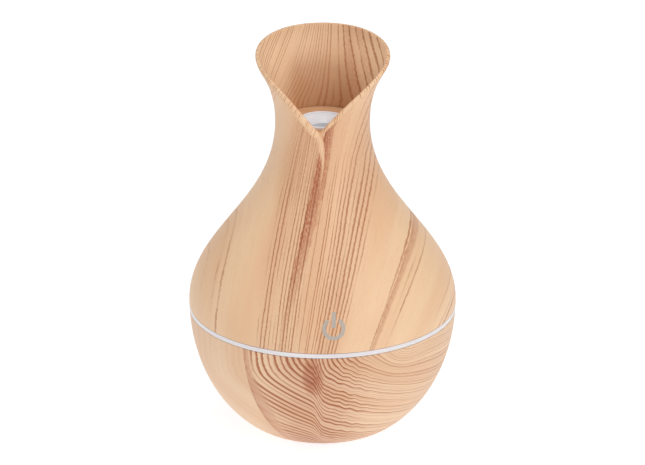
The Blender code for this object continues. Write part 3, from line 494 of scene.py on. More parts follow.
def upper_wood():
    """The outside of the upper shell: a reddish streak, fine lines, a bold bundle, and a second streak."""
    tree = Grain("wood_print_upper", 1.0)
    across, height = tree.across, tree.along
    stops = [
        (-60, 0.3), (-38, 0.1), (-34.8, 0.3), (-33, 0.08), (-29, 0.1), (-25, 0.25), (-22, 0.55), (-15, 0.8),
        (-10, 0.8), (-9, 0.45), (-3.4, 0.5), (-2.6, 1.0), (4.5, 1.0), (6.5, 0.7), (8, 0.22), (13, 0.16),
        (15, 0.35), (20, 0.3), (22, 0.1), (26, 0.05), (28, 0.22), (31, 0.06), (40, 0.14), (60, 0.3),
    ]  # fmt: skip
    quiet = tree.ramp(across, [(-10.6, 0.0), (-9.4, 1.0), (-3.4, 1.0), (-2.2, 0.0)])
    amount = tree.ramp(across, stops) * (1.0 - quiet * tree.span(height, 98, 112, 0.0, 0.75))
    stops = [(-60, 0.25), (-28, 0.25), (-20, 0.38), (-9, 0.46), (-3, 0.48), (6, 0.5), (8, 0.3), (28, 0.24)]
    thick = tree.ramp(across, [*stops, (60, 0.24)]) * tree.span(height, 90, 110, 1.0, 0.6)
    faint = tree.span(across, -6, -2, 0.15, 0.34) * tree.span(height, 90, 108)
    line = tree.lines(amount, thick) * (0.97 - faint)
    fine = tree.ramp(across, [(-27, 0.0), (-21, 0.6), (-9.6, 0.68), (-8.6, 0.0)]) * tree.span(height, 78, 100)
    line = tree.most(line, tree.lines(0.82, 0.34, 1.0, 1.5) * fine)
    taper = tree.span(height, 107, 118, 0.0, 1.2, "LINEAR")
    left = tree.span(height, 52, 100, -15.4, -12.4, "LINEAR") + taper
    width = tree.span(height, 50, 88, 2.0, 4.1) - taper * 1.2
    first = tree.streak(left, width, tree.span(height, 48, 88, 0.4, 1.0))
    second = tree.streak(17.4, tree.span(height, 60, 82, 1.3, 2.2), tree.span(height, 44, 60, 0.5, 0.62))
    stops = [(-27, 0.0), (-22, 0.17), (-9, 0.19), (-4, 0.05), (-1.5, 0.18), (1.5, 0.24), (7, 0.05), (9, 0.0)]
    stain = tree.most(tree.most(first, second), tree.ramp(across, stops))
    # A little more reddish tone on the neck's left side: partly printed stain, partly painted shade where the
    # light falls off.
    stain = stain + tree.span(across, -11, -6, 0.12, 0.03) * tree.span(height, 88, 106)
    # The overlap's rounded edge loses its stain and most of its lines: a painted highlight over the real
    # rounding.
    edge = tree.mark[2]
    return tree.wood(line, stain * (1.0 - edge), edge * 0.7, power_symbol(tree))


def power_symbol(tree):
    """An open ring with an upright bar, in front of the touch sensor."""
    right, up, _ = tree.mark
    ring = abs(tree.math("SQRT", right * right + up * up) - SYMBOL_RADIUS)
    ring = tree.span(ring, 0.62, 0.78, 1.0, 0.0)
    ring = ring * tree.span(up - abs(right) * 1.55, -0.1, 0.1, 1.0, 0.0)
    bar = tree.span(abs(right), 0.68, 0.84, 1.0, 0.0) * tree.span(abs(up - 3.1), 2.7, 2.9, 1.0, 0.0)
    return tree.most(ring, bar)


def upper_grain(x, y, z):
    """The distances across and along the grain outside the upper shell, from points in mm."""
    x = x + smooth(y / 45) * (16 + 5 * np.sin(z / 17))
    t = (z - 47) / 50
    u = x / 20
    lean = t * (9.6 + 8.4 * u + 2.6 * u * u) - t * t * (0.7 + 6.7 * u - 0.8 * u * u)
    lean = lean + 0.012 * np.clip(x, 0, 30) * np.clip(z - 107, 0, 40)
    return x - lean, z


def upper_marks(x, y, z):
    """The distance right of the power symbol's centre and up from it, along the surface, and 1 on the
    overlap's rounded edge, which the print leaves plain and pale as a painted highlight over the real
    rounding."""
    azimuth = np.arctan2(x, -y)
    right = azimuth * np.hypot(x, y) - SYMBOL_RIGHT
    up = (travel_at(z * MM) - travel_at(EQUATOR_Z)) / MM - SYMBOL_UP
    left_of_seam = (seam_azimuth(z * MM) - azimuth) * radius_at(z * MM)
    width = (0.5 + 1.3 * smooth((z - 103) / 10)) * MM
    edge = smooth(1.5 - left_of_seam / width) * smooth((z - 92) / 14) * (left_of_seam > -0.05 * MM)
    return right, up, edge


def bowl_wood():
    """The bowl: pale wood on the left, and on the right lines that turn round a knot."""
    tree = Grain("wood_print_bowl", 2.0)
    past, x, below = tree.mark
    line = tree.lines(tree.span(x, 2, 30, 1.0, 0.38), tree.span(x, -4, 26, 0.5, 0.36), 0.8)
    line = line * tree.span(x, 4, 22, 1.0, 0.6)
    fine = tree.lines(0.7, 0.4, 1.4, 2.0) * tree.span(x, 3, 14, 0.0, 0.42)
    line = tree.most(line, fine) * tree.span(below, 32, 50, 1.0, 0.78)
    width = tree.ramp(below, [(0, 0.15), (12, 0.3), (22, 0.8), (30, 1.0), (40, 0.6), (60, 0.5)], 0, 60)
    share = past / (width * 6.5 + 0.8)
    shade = tree.ramp(share, [(-0.06, 0.0), (0.0, 1.0), (0.14, 0.75), (0.6, 0.6), (1.0, 0.0)], -1.0, 2.0)
    calm = tree.span(share, 0.4, 1.0, 0.94, 0.0)
    knot_x = (x + 3.4) / 3.2
    knot_z = (below - 11.0) / 7.0
    knot = knot_x * knot_x + knot_z * knot_z
    stain = tree.most(shade * 0.8, tree.span(knot, 0.0, 3.0, 1.0, 0.0))
    stain = tree.most(stain, tree.span(abs(x + 3.0), 4, 22, 0.42, 0.06))
    return tree.wood(line, stain, calm, tones=(BOWL_PALE, BOWL_WARM), bold=1.3)


def bowl_frame(x, y, z):
    """x, and the distance below the equator, with the back turned a little against the front."""
    below = (travel_at(EQUATOR_Z) - travel_at(z * MM)) / MM
    back = smooth(y / 40)
    return x + back * 15, below + back * 5


def bowl_grain(x, y, z):
    """Upright lines on the left and level ones on the right, which meet in a bend."""
    x, below = bowl_frame(x, y, z)
    rise = np.where(x > 0, 0.45, 0.55) * x + 2 + 6.5 / (1 + np.exp(-(x + 1.5) / 0.7))
    waves = 0.3 * np.sin(1.1 * x + 0.35 * below) + 0.16 * np.sin(2.1 * x - 0.5 * below)
    below = below + waves * bump(x, 9, 8)
    across = soft_min(x, rise - below, 2.8)
    across = across + 4.5 * smooth((-6 - x) / 16) * smooth((below - 24) / 26)
    across = across + 5 * bump(x, 29, 8) * bump(below, 5, 8)
    return across, z + 0.6 * x


def bowl_marks(x, y, z):
    """The distance right of the edge of the calm wood, x, and the distance below the equator."""
    x, below = bowl_frame(x, y, z)
    return x + 28.3 - 0.0065 * below * below, x, below


def inner_wood():
    """Inside the collar: fine lines that lean to the left, and bold ones on the right, over a tone with
    painted light and shade: lighter near the rim, darker deeper down.
    """
    tree = Grain("wood_print_inside", 3.0)
    across = tree.across
    stops = [(-60, 0.5), (-20, 0.55), (-8, 0.7), (4, 0.75), (6.5, 0.8), (7.5, 1.0)]
    stops += [(22, 1.0), (30, 0.6), (60, 0.6)]
    thick = tree.ramp(across, [(-60, 0.42), (4, 0.44), (8, 0.28), (60, 0.24)])
    line = tree.lines(tree.ramp(across, stops), thick, 0.7)
    line = line * tree.ramp(across, [(-30, 0.7), (2, 0.6), (8, 0.9)])
    stops = [(-60, 0.0), (2, 0.05), (7, 0.1), (9, 0.45), (11, 0.2), (12.5, 0.35)]
    stops += [(16, 0.1), (24, 0.1), (60, 0.05)]
    # Painted shade: darker the further below the rim, and less on the side walls, which catch more light.
    fall, side, _ = tree.mark
    dim = tree.ramp(fall, [(0, 0.0), (3, 0.05), (9, 0.35), (15, 0.68), (20, 0.72), (29, 0.72)], 0, 30)
    dim = dim * tree.span(side, 8, 17, 1.0, 0.0)
    return tree.wood(line, tree.ramp(across, stops), dim=dim, tones=(LIT_CREAM, PALE))


def inner_grain(x, y, z):
    """The grain inside the collar, which runs down and spreads."""
    fall = np.clip(RIM_Z / MM - z, 0, 40)
    return x * (1 - 0.0214 * np.clip(fall, 0, 26)) + 0.1 * fall, z


def inner_marks(x, y, z):
    """How far below the rim, and how far from the middle, which place the painted shade inside the collar."""
    return rim_z(past_seam(x, y)) / MM - z, np.abs(x), 0 * x


def lip_wood():
    """The rounded lip, where the print is stretched, and its lines cross the edge."""
    tree = Grain("wood_print_lip", 4.0)
    return tree.wood(tree.lines(0.55, 0.42, 0.8), 0.0)


def lip_grain(x, y, z):
    """Distance round the rim, with lines that cross the lip at a slant."""
    azimuth = np.arctan2(x, -y)
    return azimuth * RIM_RADIUS / MM - 0.5 * z + 25, z


def shelf_wood():
    """The shelf in the neck, almost plain."""
    tree = Grain("wood_print_shelf", 5.0)
    return tree.wood(tree.lines(0.3, 0.3), 0.0, dim=0.55)


def shelf_grain(x, y, z):
    return y + 0.2 * x, x


def no_marks(x, y, z):
    return 0 * x, 0 * x, 0 * x


def write_grain(mesh, field, marks, spacing, choose=None):
    """Stores the grain's frame on a mesh's points, or on the chosen ones."""
    x, y, z = mesh_points(mesh).T / MM
    across, along = field(x, y, z)
    frames = {
        "grain": np.column_stack([across, along, grain_count(across, spacing)]),
        "mark": np.column_stack(marks(x, y, z)),
    }
    for name, values in frames.items():
        attribute = mesh.attributes.get(name) or mesh.attributes.new(name, "FLOAT_VECTOR", "POINT")
        if choose is not None:
            before = np.empty(values.size)
            attribute.data.foreach_get("vector", before)
            values = np.where(choose[:, None], values, before.reshape(-1, 3))
        attribute.data.foreach_set("vector", values.ravel())


def mesh_points(mesh):
    points = np.empty(len(mesh.vertices) * 3)
    mesh.vertices.foreach_get("co", points)
    return points.reshape(-1, 3)


wood_upper = upper_wood()
wood_bowl = bowl_wood()
wood_inner = inner_wood()
wood_lip = lip_wood()
wood_shelf = shelf_wood()

# ---------------------------------------------------------------- plain materials


def moulded(name, colour, roughness=0.4, tint=0.03, **others):
    """Moulded plastic or rubber: faint flow marks in the colour and a fine texture."""
    tree = Tree(name)
    cloud = tree.noise(tree.place(), 38.0, 3.0)
    fine = tree.noise(tree.place(), 2600.0, 2.0)
    darker = tuple(c * (1 - 3 * tint) for c in colour[:3]) + (1.0,)
    shade = tree.mix(tree.span(cloud, 0.3, 0.7), colour, darker)
    tree.bump(fine, 0.02 * MM, 0.25)
    gloss = tree.span(fine, 0.3, 0.7, roughness - 0.05, roughness + 0.05, "LINEAR")
    return tree.finish(shade, gloss, **others)


def metal(name, colour, roughness=0.28, stretch=(1, 1, 14)):
    """Plated or brushed metal with fine marks."""
    tree = Tree(name)
    brushed = tree.vector(*(axis * k for axis, k in zip(tree.split(tree.place()), stretch)))
    brushed = tree.noise(brushed, 900.0, 3.0)
    spots = tree.noise(tree.place(), 160.0, 2.0)
    darker = tuple(c * 0.8 for c in colour[:3]) + (1.0,)
    shade = tree.mix(tree.span(spots, 0.35, 0.7), colour, darker)
    tree.bump(brushed, 0.01 * MM, 0.3)
    return tree.finish(shade, tree.span(brushed, 0.3, 0.7, roughness - 0.06, roughness + 0.1, "LINEAR"), 1.0)


def lit_ring():
    """Milky plastic that glows almost evenly."""
    tree = Tree("light_ring")
    cloud = tree.noise(tree.place(), 60.0, 2.0)
    colour = tree.mix(tree.span(cloud, 0.3, 0.7), srgb(222, 216, 216), srgb(214, 208, 209))
    tree.bump(tree.noise(tree.place(), 2500.0, 1.0), 0.01 * MM, 0.2)
    glow = tree.mix(tree.span(cloud, 0.2, 0.8), (0.90, 0.88, 0.92, 1), (0.82, 0.80, 0.86, 1))
    soft = {"Subsurface_Weight": 0.2, "Subsurface_Scale": 0.002}
    return tree.finish(colour, 0.35, Emission_Color=glow, Emission_Strength=0.09, **soft)


def circuit_board(name):
    """Green lacquer over copper tracks, with bare pads."""
    tree = Tree(name)
    tracks = tree.cells(tree.place(), 420.0, "DISTANCE_TO_EDGE")
    pads = tree.cells(tree.place(), 260.0)
    green = tree.mix(tree.span(tracks, 0.03, 0.06), srgb(34, 104, 62), srgb(14, 72, 40))
    bare = tree.span(pads, 0.10, 0.13, 1.0, 0.0)
    colour = tree.mix(bare, green, srgb(196, 190, 172))
    tree.bump(tree.span(tracks, 0.03, 0.06, 1.0, 0.0), 0.03 * MM, 0.5)
    return tree.finish(colour, tree.span(bare, 0.0, 1.0, 0.35, 0.25, "LINEAR"), bare * 0.9)


def mesh_steel():
    """The atomiser's plate: bright steel, with a field of tiny holes in the middle."""
    tree = Tree("mesh_steel")
    x, y, _ = tree.split(tree.place())
    field = tree.span(tree.math("SQRT", x * x + y * y), 2.2 * MM, 2.5 * MM, 1.0, 0.0)
    dark = tree.span(tree.cells(tree.place(), 5200.0), 0.18, 0.34, 1.0, 0.0) * field
    colour = tree.mix(dark, srgb(208, 216, 224), srgb(120, 124, 130))
    tree.bump(dark, -0.03 * MM, 0.6)
    return tree.finish(colour, 0.42, 0.3)


def cotton_fibre():
    """Pressed fibre: fine strands that run up the wick."""
    tree = Tree("cotton_fibre")
    x, y, z = tree.split(tree.place())
    strands = tree.noise(tree.vector(x, y, z * 0.08), 2600.0, 4.0, 0.6)
    fluff = tree.noise(tree.place(), 700.0, 4.0, 0.7)
    colour = tree.mix(tree.span(strands, 0.35, 0.65), srgb(214, 208, 194), srgb(242, 239, 230))
    tree.bump(strands + fluff, 0.12 * MM, 0.7)
    return tree.finish(colour, tree.span(fluff, 0.3, 0.7, 0.88, 1.0, "LINEAR"), Sheen_Weight=0.3)


WHITE = srgb(226, 229, 234)
# The nozzle's plastic has a faint bluish painted glow, though it holds no lamp, to brighten the dish in the
# collar's shade.
glowing_nozzle_plastic = moulded(
    "glowing_nozzle_plastic", WHITE, 0.3, 0.02, Emission_Color=(0.75, 0.86, 1, 1), Emission_Strength=0.07
)
white_plastic = moulded("white_plastic", WHITE, 0.38)
clear_white = moulded("tank_plastic", srgb(240, 242, 242), 0.30, 0.02)
milky = {"Subsurface_Weight": 0.15, "Subsurface_Scale": 0.002}
silicone = moulded("silicone", srgb(206, 209, 210), 0.55, 0.04, **milky)
rubber = moulded("foot_rubber", srgb(52, 50, 48), 0.8, 0.05)
black_plastic = moulded("black_plastic", srgb(34, 34, 36), 0.45, 0.05)
red_cover = moulded("red_wire", srgb(176, 34, 30), 0.42, 0.05)
ceramic = moulded("piezo_ceramic", srgb(222, 214, 196), 0.5, 0.05)
steel = metal("plated_steel", srgb(196, 198, 202))
inlet_steel = metal("inlet_steel", srgb(202, 204, 206), 0.25, (1, 14, 1))
spring_steel = metal("spring_steel", srgb(188, 190, 194), 0.22)
can_metal = metal("can_metal", srgb(190, 194, 200), 0.3)
copper = metal("copper_winding", srgb(196, 116, 70), 0.35)
gold = metal("gold_contacts", srgb(214, 176, 96), 0.25)
phosphor = moulded("led_phosphor", srgb(238, 214, 92), 0.35, 0.03)
shell_plastic = moulded("shell_plastic", srgb(222, 206, 184), 0.5, 0.03)
cotton = cotton_fibre()
ring_glow = lit_ring()
board_green = circuit_board("board_lacquer")
atomiser_steel = mesh_steel()

# ---------------------------------------------------------------- mesh helpers


def as_mesh(bm):
    """Turns a bmesh into a mesh with its faces outwards, and frees it."""
    bmesh.ops.recalc_face_normals(bm, faces=bm.faces)
    mesh = bpy.data.meshes.new("mesh")
    bm.to_mesh(mesh)
    bm.free()
    return mesh


def grid_mesh(rings):
    """A closed solid from rings of points, an array of (ring, column, 3). The last ring joins the first."""
    count, width, _ = rings.shape
    low = np.arange(count * width).reshape(count, width)
    high = np.roll(low, -1, axis=0)
    quads = np.stack([low, np.roll(low, -1, axis=1), np.roll(high, -1, axis=1), high], axis=-1)
    rough = bpy.data.meshes.new("rough")
    rough.from_pydata(rings.reshape(-1, 3).tolist(), [], quads.reshape(-1, 4).tolist())
    bm = bmesh.new()
    bm.from_mesh(rough)
    bpy.data.meshes.remove(rough)
    return as_mesh(bm)


def turned_mesh(outline, steps=96):
    """A solid spun from a closed outline of (radius, z) points."""
    bm = bmesh.new()
    verts = [bm.verts.new((r, 0.0, z)) for r, z in outline]
    off_axis = [(a, b) for a, b in zip(verts, verts[1:] + verts[:1]) if max(a.co.x, b.co.x) > TINY]
    edges = [bm.edges.new(pair) for pair in off_axis]
    bmesh.ops.spin(
        bm, geom=verts + edges, cent=(0, 0, 0), axis=(0, 0, 1), angle=math.tau, steps=steps, use_merge=True
    )
    bmesh.ops.remove_doubles(bm, verts=bm.verts, dist=10 * TINY)
    return as_mesh(bm)


def rounded(outline, radius, steps=3, keep_axis=True):
    """The outline with its corners cut by small arcs, apart from those on the axis."""
    points = []
    count = len(outline)
    for i in range(count):
        before, here, after = (np.array(outline[k % count], float) for k in (i - 1, i, i + 1))
        back, ahead = np.linalg.norm(before - here), np.linalg.norm(after - here)
        reach = min(radius, 0.45 * back, 0.45 * ahead)
        if keep_axis and here[0] < TINY or reach < TINY:
            points.append(tuple(here))
            continue
        start = here + (before - here) / back * reach
        end = here + (after - here) / ahead * reach
        for t in np.arange(steps + 1) / steps:
            points.append(tuple((1 - t) ** 2 * start + 2 * t * (1 - t) * here + t * t * end))
    return points


def block_mesh(low, high, width=0.0, segments=3):
    """A block with rounded edges."""
    low, high = Vector(low), Vector(high)
    bm = bmesh.new()
    size = Matrix.Diagonal((*(high - low), 1.0))
    bmesh.ops.create_cube(bm, size=1.0, matrix=Matrix.Translation((low + high) / 2) @ size)
    if width:
        bmesh.ops.bevel(bm, geom=bm.edges[:], offset=width, segments=segments, profile=0.5, affect="EDGES")
    return as_mesh(bm)


def extruded_mesh(outline, y_low, y_high):
    """A solid from an (x, z) outline, drawn out along Y."""
    bm = bmesh.new()
    face = bm.faces.new([bm.verts.new((x, y_low, z)) for x, z in outline])
    drawn = bmesh.ops.extrude_face_region(bm, geom=[face])
    points = [v for v in drawn["geom"] if isinstance(v, bmesh.types.BMVert)]
    bmesh.ops.translate(bm, verts=points, vec=(0, y_high - y_low, 0))
    return as_mesh(bm)


def tube_mesh(route, radius, sides=12):
    """A round tube with closed ends along a route."""
    route = np.asarray(route, float)
    heading = np.gradient(route, axis=0)
    heading /= np.linalg.norm(heading, axis=1)[:, None]
    side = np.cross(heading[0], (0.3, 0.9, 0.1))
    angles = np.linspace(0, math.tau, sides, endpoint=False)[:, None]
    bm = bmesh.new()
    rings = []
    for point, ahead in zip(route, heading):
        side = side - ahead * side.dot(ahead)
        side /= np.linalg.norm(side)
        ring = point + radius * (np.cos(angles) * side + np.sin(angles) * np.cross(ahead, side))
        rings.append([bm.verts.new(p) for p in ring])
    for low, high in zip(rings, rings[1:]):
        for corners in zip(low, low[1:] + low[:1], high[1:] + high[:1], high):
            bm.faces.new(corners)
    bm.faces.new(rings[0][::-1])
    bm.faces.new(rings[-1])
    return as_mesh(bm)


def smooth_route(points, count=12):
    """Points on a Catmull-Rom curve through the given ones."""
    padded = [Vector(p) for p in (points[0], *points, points[-1])]
    route = []
    for a, b, c, d in zip(padded, padded[1:], padded[2:], padded[3:]):
        square = 2 * a - 5 * b + 4 * c - d
        cube = 3 * b - 3 * c + d - a
        for t in np.arange(count) / count:
            route.append(0.5 * (2 * b + (c - a) * t + square * t**2 + cube * t**3))
    return [*route, padded[-1]]


def around(radius, azimuth):
    return Vector((radius * math.sin(azimuth), -radius * math.cos(azimuth), 0.0))


def moved(mesh, x=0.0, y=0.0, z=0.0, turn=0.0):
    """The mesh turned about Z and then shifted."""
    mesh.transform(Matrix.Translation((x, y, z)) @ Matrix.Rotation(turn, 4, "Z"))
    return mesh


def joined(meshes, mats=()):
    """Several meshes as one. mats gives each one's place in the list of materials."""
    bm = bmesh.new()
    for i, mesh in enumerate(meshes):
        before = len(bm.faces)
        bm.from_mesh(mesh)
        bm.faces.ensure_lookup_table()
        for face in bm.faces[before:]:
            face.material_index = mats[i] if mats else 0
    return as_mesh(bm)


def rod(radius, low, high, at=(0, 0), steps=32):
    """An upright cylinder through at."""
    return moved(turned_mesh([(0, low), (radius, low), (radius, high), (0, high)], steps), *at[:2])


def rods(radius, low, high, circle, azimuths, steps=32):
    """Upright cylinders on a circle, as one mesh."""
    return joined([rod(radius, low, high, around(circle, azimuth), steps) for azimuth in azimuths])


def collar_outline(inner, outer, low, high):
    """The outline of a flat ring."""
    return [(inner, low), (outer, low), (outer, high), (inner, high)]


def smooth_faces(mesh):
    mesh.shade_smooth()
    mesh.set_sharp_from_angle(angle=SHARP)


def combine(obj, mesh, operation="DIFFERENCE"):
    """Applies an exact Boolean with a mesh."""
    other = bpy.data.objects.new("other", mesh)
    bpy.context.scene.collection.objects.link(other)
    modifier = obj.modifiers.new("combine", "BOOLEAN")
    modifier.operation = operation
    modifier.solver = "EXACT"
    modifier.object = other
    graph = bpy.context.evaluated_depsgraph_get()
    result = bpy.data.meshes.new_from_object(obj.evaluated_get(graph))
    obj.modifiers.clear()
    obj.data = result
    bpy.data.objects.remove(other, do_unlink=True)
    smooth_faces(result)


def stand_in(node, mesh, mats, ending="fine"):
    """A finely made piece in place of a CAD node, riding on the same body."""
    mesh.name = f"{node}_{ending}"
    smooth_faces(mesh)
    obj = bpy.data.objects.new(mesh.name, mesh)
    bpy.context.scene.collection.objects.link(obj)
    for mat in mats if isinstance(mats, list) else [mats]:
        mesh.materials.append(mat)
    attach(obj, frame["nodes"][node]["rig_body"])
    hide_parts(node)
    return obj


# ---------------------------------------------------------------- upper shell


def quarter(share):
    """A quarter circle's height: 0 and upright at 0, 1 and level at 1."""
    return np.sqrt(np.clip(1 - (1 - np.clip(share, 0, 1)) ** 2, 0, 1))


def petal_lift(past, z):
    """How far the left petal stands out, at an angle past the seam. Its edge at the seam is rounded."""
    height = smooth((z - SEAM_BOTTOM_Z) / (SEAM_FULL_Z - SEAM_BOTTOM_Z))
    spread = smooth(1 + past / PETAL_SPREAD)
    from_edge = -past * radius_at(z)
    left = (past < 0) & (past >= -PETAL_SPREAD)
    return np.where(left, PETAL_STEP * height * spread * quarter(from_edge / PETAL_EDGE), 0.0)


def rim_z(past):
    """The rim's height, which is lowest at the seam."""
    return RIM_Z - NOTCH_DEPTH * (1 - np.abs(np.sin(past / 2))) ** NOTCH_POWER


def shell_columns():
    """Azimuths from the seam, close together beside it."""
    near = [0.08, 0.2, 0.4, 0.7, 1.1, 1.6, 2.2, 3.0, 3.9, 5.0, 6.2]
    side = np.array([*near, *np.arange(7.6, 40, 1.6), *np.arange(40.5, 180, 2.2)])
    return np.radians([*-side[::-1], 0.0, *side, 180.0])


COLUMNS = shell_columns()
RIM_RISE = np.abs(np.gradient(rim_z(COLUMNS), COLUMNS)) / radius_at(rim_z(COLUMNS))
LIP_WIDTH = LIP_NARROW + (LIP_WIDE - LIP_NARROW) * smooth(-COLUMNS / math.radians(8)) * smooth(2.2 + COLUMNS)
LIP_DROP = LIP_WIDTH * np.hypot(1, RIM_RISE)


def shell_ring(height, depth, lifted=True):
    """One ring of points, from the height and the depth at each column."""
    height = np.broadcast_to(height, COLUMNS.shape)
    azimuth = COLUMNS + seam_azimuth(height) * (1 - smooth(np.abs(COLUMNS) / SEAM_SPREAD))
    radius = radius_at(height) - depth
    if lifted:
        radius = radius + petal_lift(COLUMNS, height)
    return np.column_stack([radius * np.sin(azimuth), -radius * np.cos(azimuth), height])


def upper_shell():
    """The vase, as rings up the outside, over the lip and down the inside."""
    bottom = SHELL_LOW.z
    notch = float(rim_z(0.0)) - 6.0 * MM
    rim = rim_z(COLUMNS)
    outer = [shell_ring(z, 0.0) for z in np.arange(bottom, notch, 1.1 * MM)]
    outer += [shell_ring(notch + (rim - LIP_DROP - notch) * share, 0.0) for share in np.linspace(0, 1, 26)]
    lip = []
    low, start = LIP_START, 1 - math.sin(LIP_START)
    for turn in np.linspace(low, math.pi / 2, 8)[1:-1]:
        drop = LIP_DROP * (1 - math.sin(turn)) / start
        lip.append(shell_ring(rim - drop, (WALL - INNER_ROUND) * (1 - math.cos(turn) / math.cos(low))))
    for turn in np.radians([0, 30, 60, 90]):
        drop = INNER_ROUND * (1 - math.cos(turn))
        lip.append(shell_ring(rim - drop, WALL - INNER_ROUND * (1 - math.sin(turn))))
    inner_top = rim - INNER_ROUND
    inner = [shell_ring(notch + (inner_top - notch) * share, WALL) for share in np.linspace(1, 0, 26)[1:]]
    under = [shell_ring(z, WALL, False) for z in np.linspace(notch - 3 * MM, bottom, 40)]
    mesh = grid_mesh(np.array(outer + lip + inner + under))
    shell_mats = [wood_upper, wood_inner, wood_lip, shell_plastic]
    obj = stand_in("upper_shell", mesh, shell_mats, "printed")
    usb_low, usb_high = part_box("usb_socket")
    middle = (usb_low.z + usb_high.z) / 2
    across, up = USB_WINDOW[0] / 2, USB_WINDOW[1] / 2
    window = block_mesh((-across, 44 * MM, middle - up), (across, 51 * MM, middle + up), 1.6 * MM, 5)
    combine(obj, window)
    combine(obj, shell_bosses(), "UNION")
    combine(obj, rods(SCREW_HOLE, bottom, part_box("chassis_screw_1")[1].z + MM, BOSS_CIRCLE, THIRDS, 24))
    paint_shell(obj.data)


def shell_bosses():
    """Three screw bosses that end inside the shell's wall."""
    posts = rods(SHELL_BOSS, CHASSIS_PLATE_Z + GAP, 90 * MM, BOSS_CIRCLE, THIRDS)
    solid = bpy.data.objects.new("bosses", posts)
    bpy.context.scene.collection.objects.link(solid)
    heights = np.linspace(EQUATOR_Z, NECK_Z, 40)
    core = [(0, EQUATOR_Z), *zip(radius_at(heights, WALL / 2).tolist(), heights.tolist()), (0, NECK_Z)]
    combine(solid, turned_mesh(core, 96), "INTERSECT")
    mesh = solid.data
    bpy.data.objects.remove(solid, do_unlink=True)
    return mesh


def paint_shell(mesh):
    """The outside, the inside and the lip each carry their own print. Below the shelf the inside is plain."""
    x, y, z = mesh_points(mesh).T
    past = past_seam(x, y)
    depth = radius_at(z) + petal_lift(past, z) - np.hypot(x, y)
    inside = depth > 0.93 * WALL
    lip = (rim_z(past) - z < 0.98 * np.interp(past, COLUMNS, LIP_DROP)) & ~inside
    outer_slot, inner_slot, lip_slot, plain_slot = range(4)
    slots = []
    for polygon in mesh.polygons:
        corners = list(polygon.vertices)
        if not inside[corners].all():
            slots.append(lip_slot if lip[corners].any() else outer_slot)
        else:
            slots.append(plain_slot if z[corners].max() < SHELF_LOW.z else inner_slot)
    mesh.polygons.foreach_set("material_index", slots)
    write_grain(mesh, upper_grain, upper_marks, UPPER_SPACING)
    write_grain(mesh, inner_grain, inner_marks, INNER_SPACING, inside)
    write_grain(mesh, lip_grain, no_marks, LIP_SPACING, lip)


upper_shell()

# ---------------------------------------------------------------- lower shell


def wall_points(z_low, z_high, count, depth=0.0):
    """(radius, z) points up the outside, inset by depth, closer together near the bottom."""
    heights = z_low + (z_high - z_low) * np.linspace(0, 1, count) ** 1.3
    return [(float(r), float(z)) for r, z in zip(radius_at(heights, depth), heights)]


def lower_shell():
    """The bowl, with a rebate inside its rim for the tank's flange, and pockets for the feet."""
    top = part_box("lower_shell")[1].z
    floor_z = BASE_Z + 2.2 * MM
    rebate = 1.4 * MM
    pocket_radius, pocket_high = 4.3 * MM, 1.4 * MM
    outer = wall_points(BASE_Z + 0.15 * MM, top, 64)
    inner = wall_points(floor_z, top - rebate, 40, WALL)
    edge = outer[-1][0] - 1.0 * MM
    ease = [(r, BASE_Z) for r in np.linspace(0, BASE_RADIUS - 0.4 * MM, 16)]
    outline = ease + outer + [(edge, top), (edge, top - rebate)] + inner[::-1] + [(0, floor_z)]
    obj = stand_in("lower_shell", turned_mesh(outline, 280), wood_bowl, "printed")
    for node in FOOT_PADS:
        low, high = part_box(node)
        combine(obj, rod(pocket_radius, -MM, pocket_high, (low + high) / 2, 48))
    write_grain(obj.data, bowl_grain, bowl_marks, BOWL_SPACING)


lower_shell()

# ---------------------------------------------------------------- light ring


def light_ring():
    """The lens at the waist, with a thinner rib that stands up inside the shell."""
    low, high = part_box("light_ring")
    inner, rib = 43.6 * MM, 45.1 * MM
    lens_high = low.z + 1.6 * MM
    outline = [(inner, low.z), *wall_points(low.z, lens_high, 8)]
    outline += [(rib, lens_high), (rib, high.z), (inner, high.z)]
    stand_in("light_ring", turned_mesh(outline, 160), ring_glow, "lens")


light_ring()

# ---------------------------------------------------------------- mouth: shelf, nozzle and mesh


def neck_shelf():
    """The floor of the collar, with the nozzle's opening and three bosses below."""
    edge, high = SHELF_HIGH.x, SHELF_HIGH.z
    opening, low, boss_radius = 9.1 * MM, high - 1.5 * MM, 1.9 * MM
    outline = rounded(collar_outline(opening, edge, low, high), 0.25 * MM)
    obj = stand_in("neck_shelf", turned_mesh(outline), wood_shelf, "printed")
    for azimuth in THIRDS:
        tube = turned_mesh(collar_outline(SCREW_HOLE, boss_radius, SHELF_LOW.z, low + 0.7 * MM), 24)
        combine(obj, moved(tube, *around(SHELF_BOSS_CIRCLE, azimuth)), "UNION")
    write_grain(obj.data, shelf_grain, no_marks, UPPER_SPACING)


def mist_nozzle():
    """The dish that the mist leaves by, with a rolled rim and a flange below the shelf."""
    low, high = (corner.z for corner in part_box("mist_nozzle"))
    hole, neck, flange, edge = 3.6 * MM, 4.3 * MM, 9.8 * MM, 8.8 * MM
    roll, dish = 0.6 * MM, 3.6 * MM
    flange_high = low + 1.2 * MM
    outline = [(hole, low - 0.8 * MM), (neck, low - 0.8 * MM), (neck, low)]
    outline += [(flange, low), (flange, flange_high), (edge, flange_high)]
    for angle in np.linspace(0, math.pi, 9):
        outline.append((edge - roll + roll * math.cos(angle), high - roll + roll * math.sin(angle)))
    for t in np.arange(1, 12) / 11:
        outline.append((edge - 2 * roll - dish * t, high - roll - 1.9 * MM * t**1.3))
    outline.append((hole, low + 0.6 * MM))
    stand_in("mist_nozzle", turned_mesh(outline), glowing_nozzle_plastic, "dish")


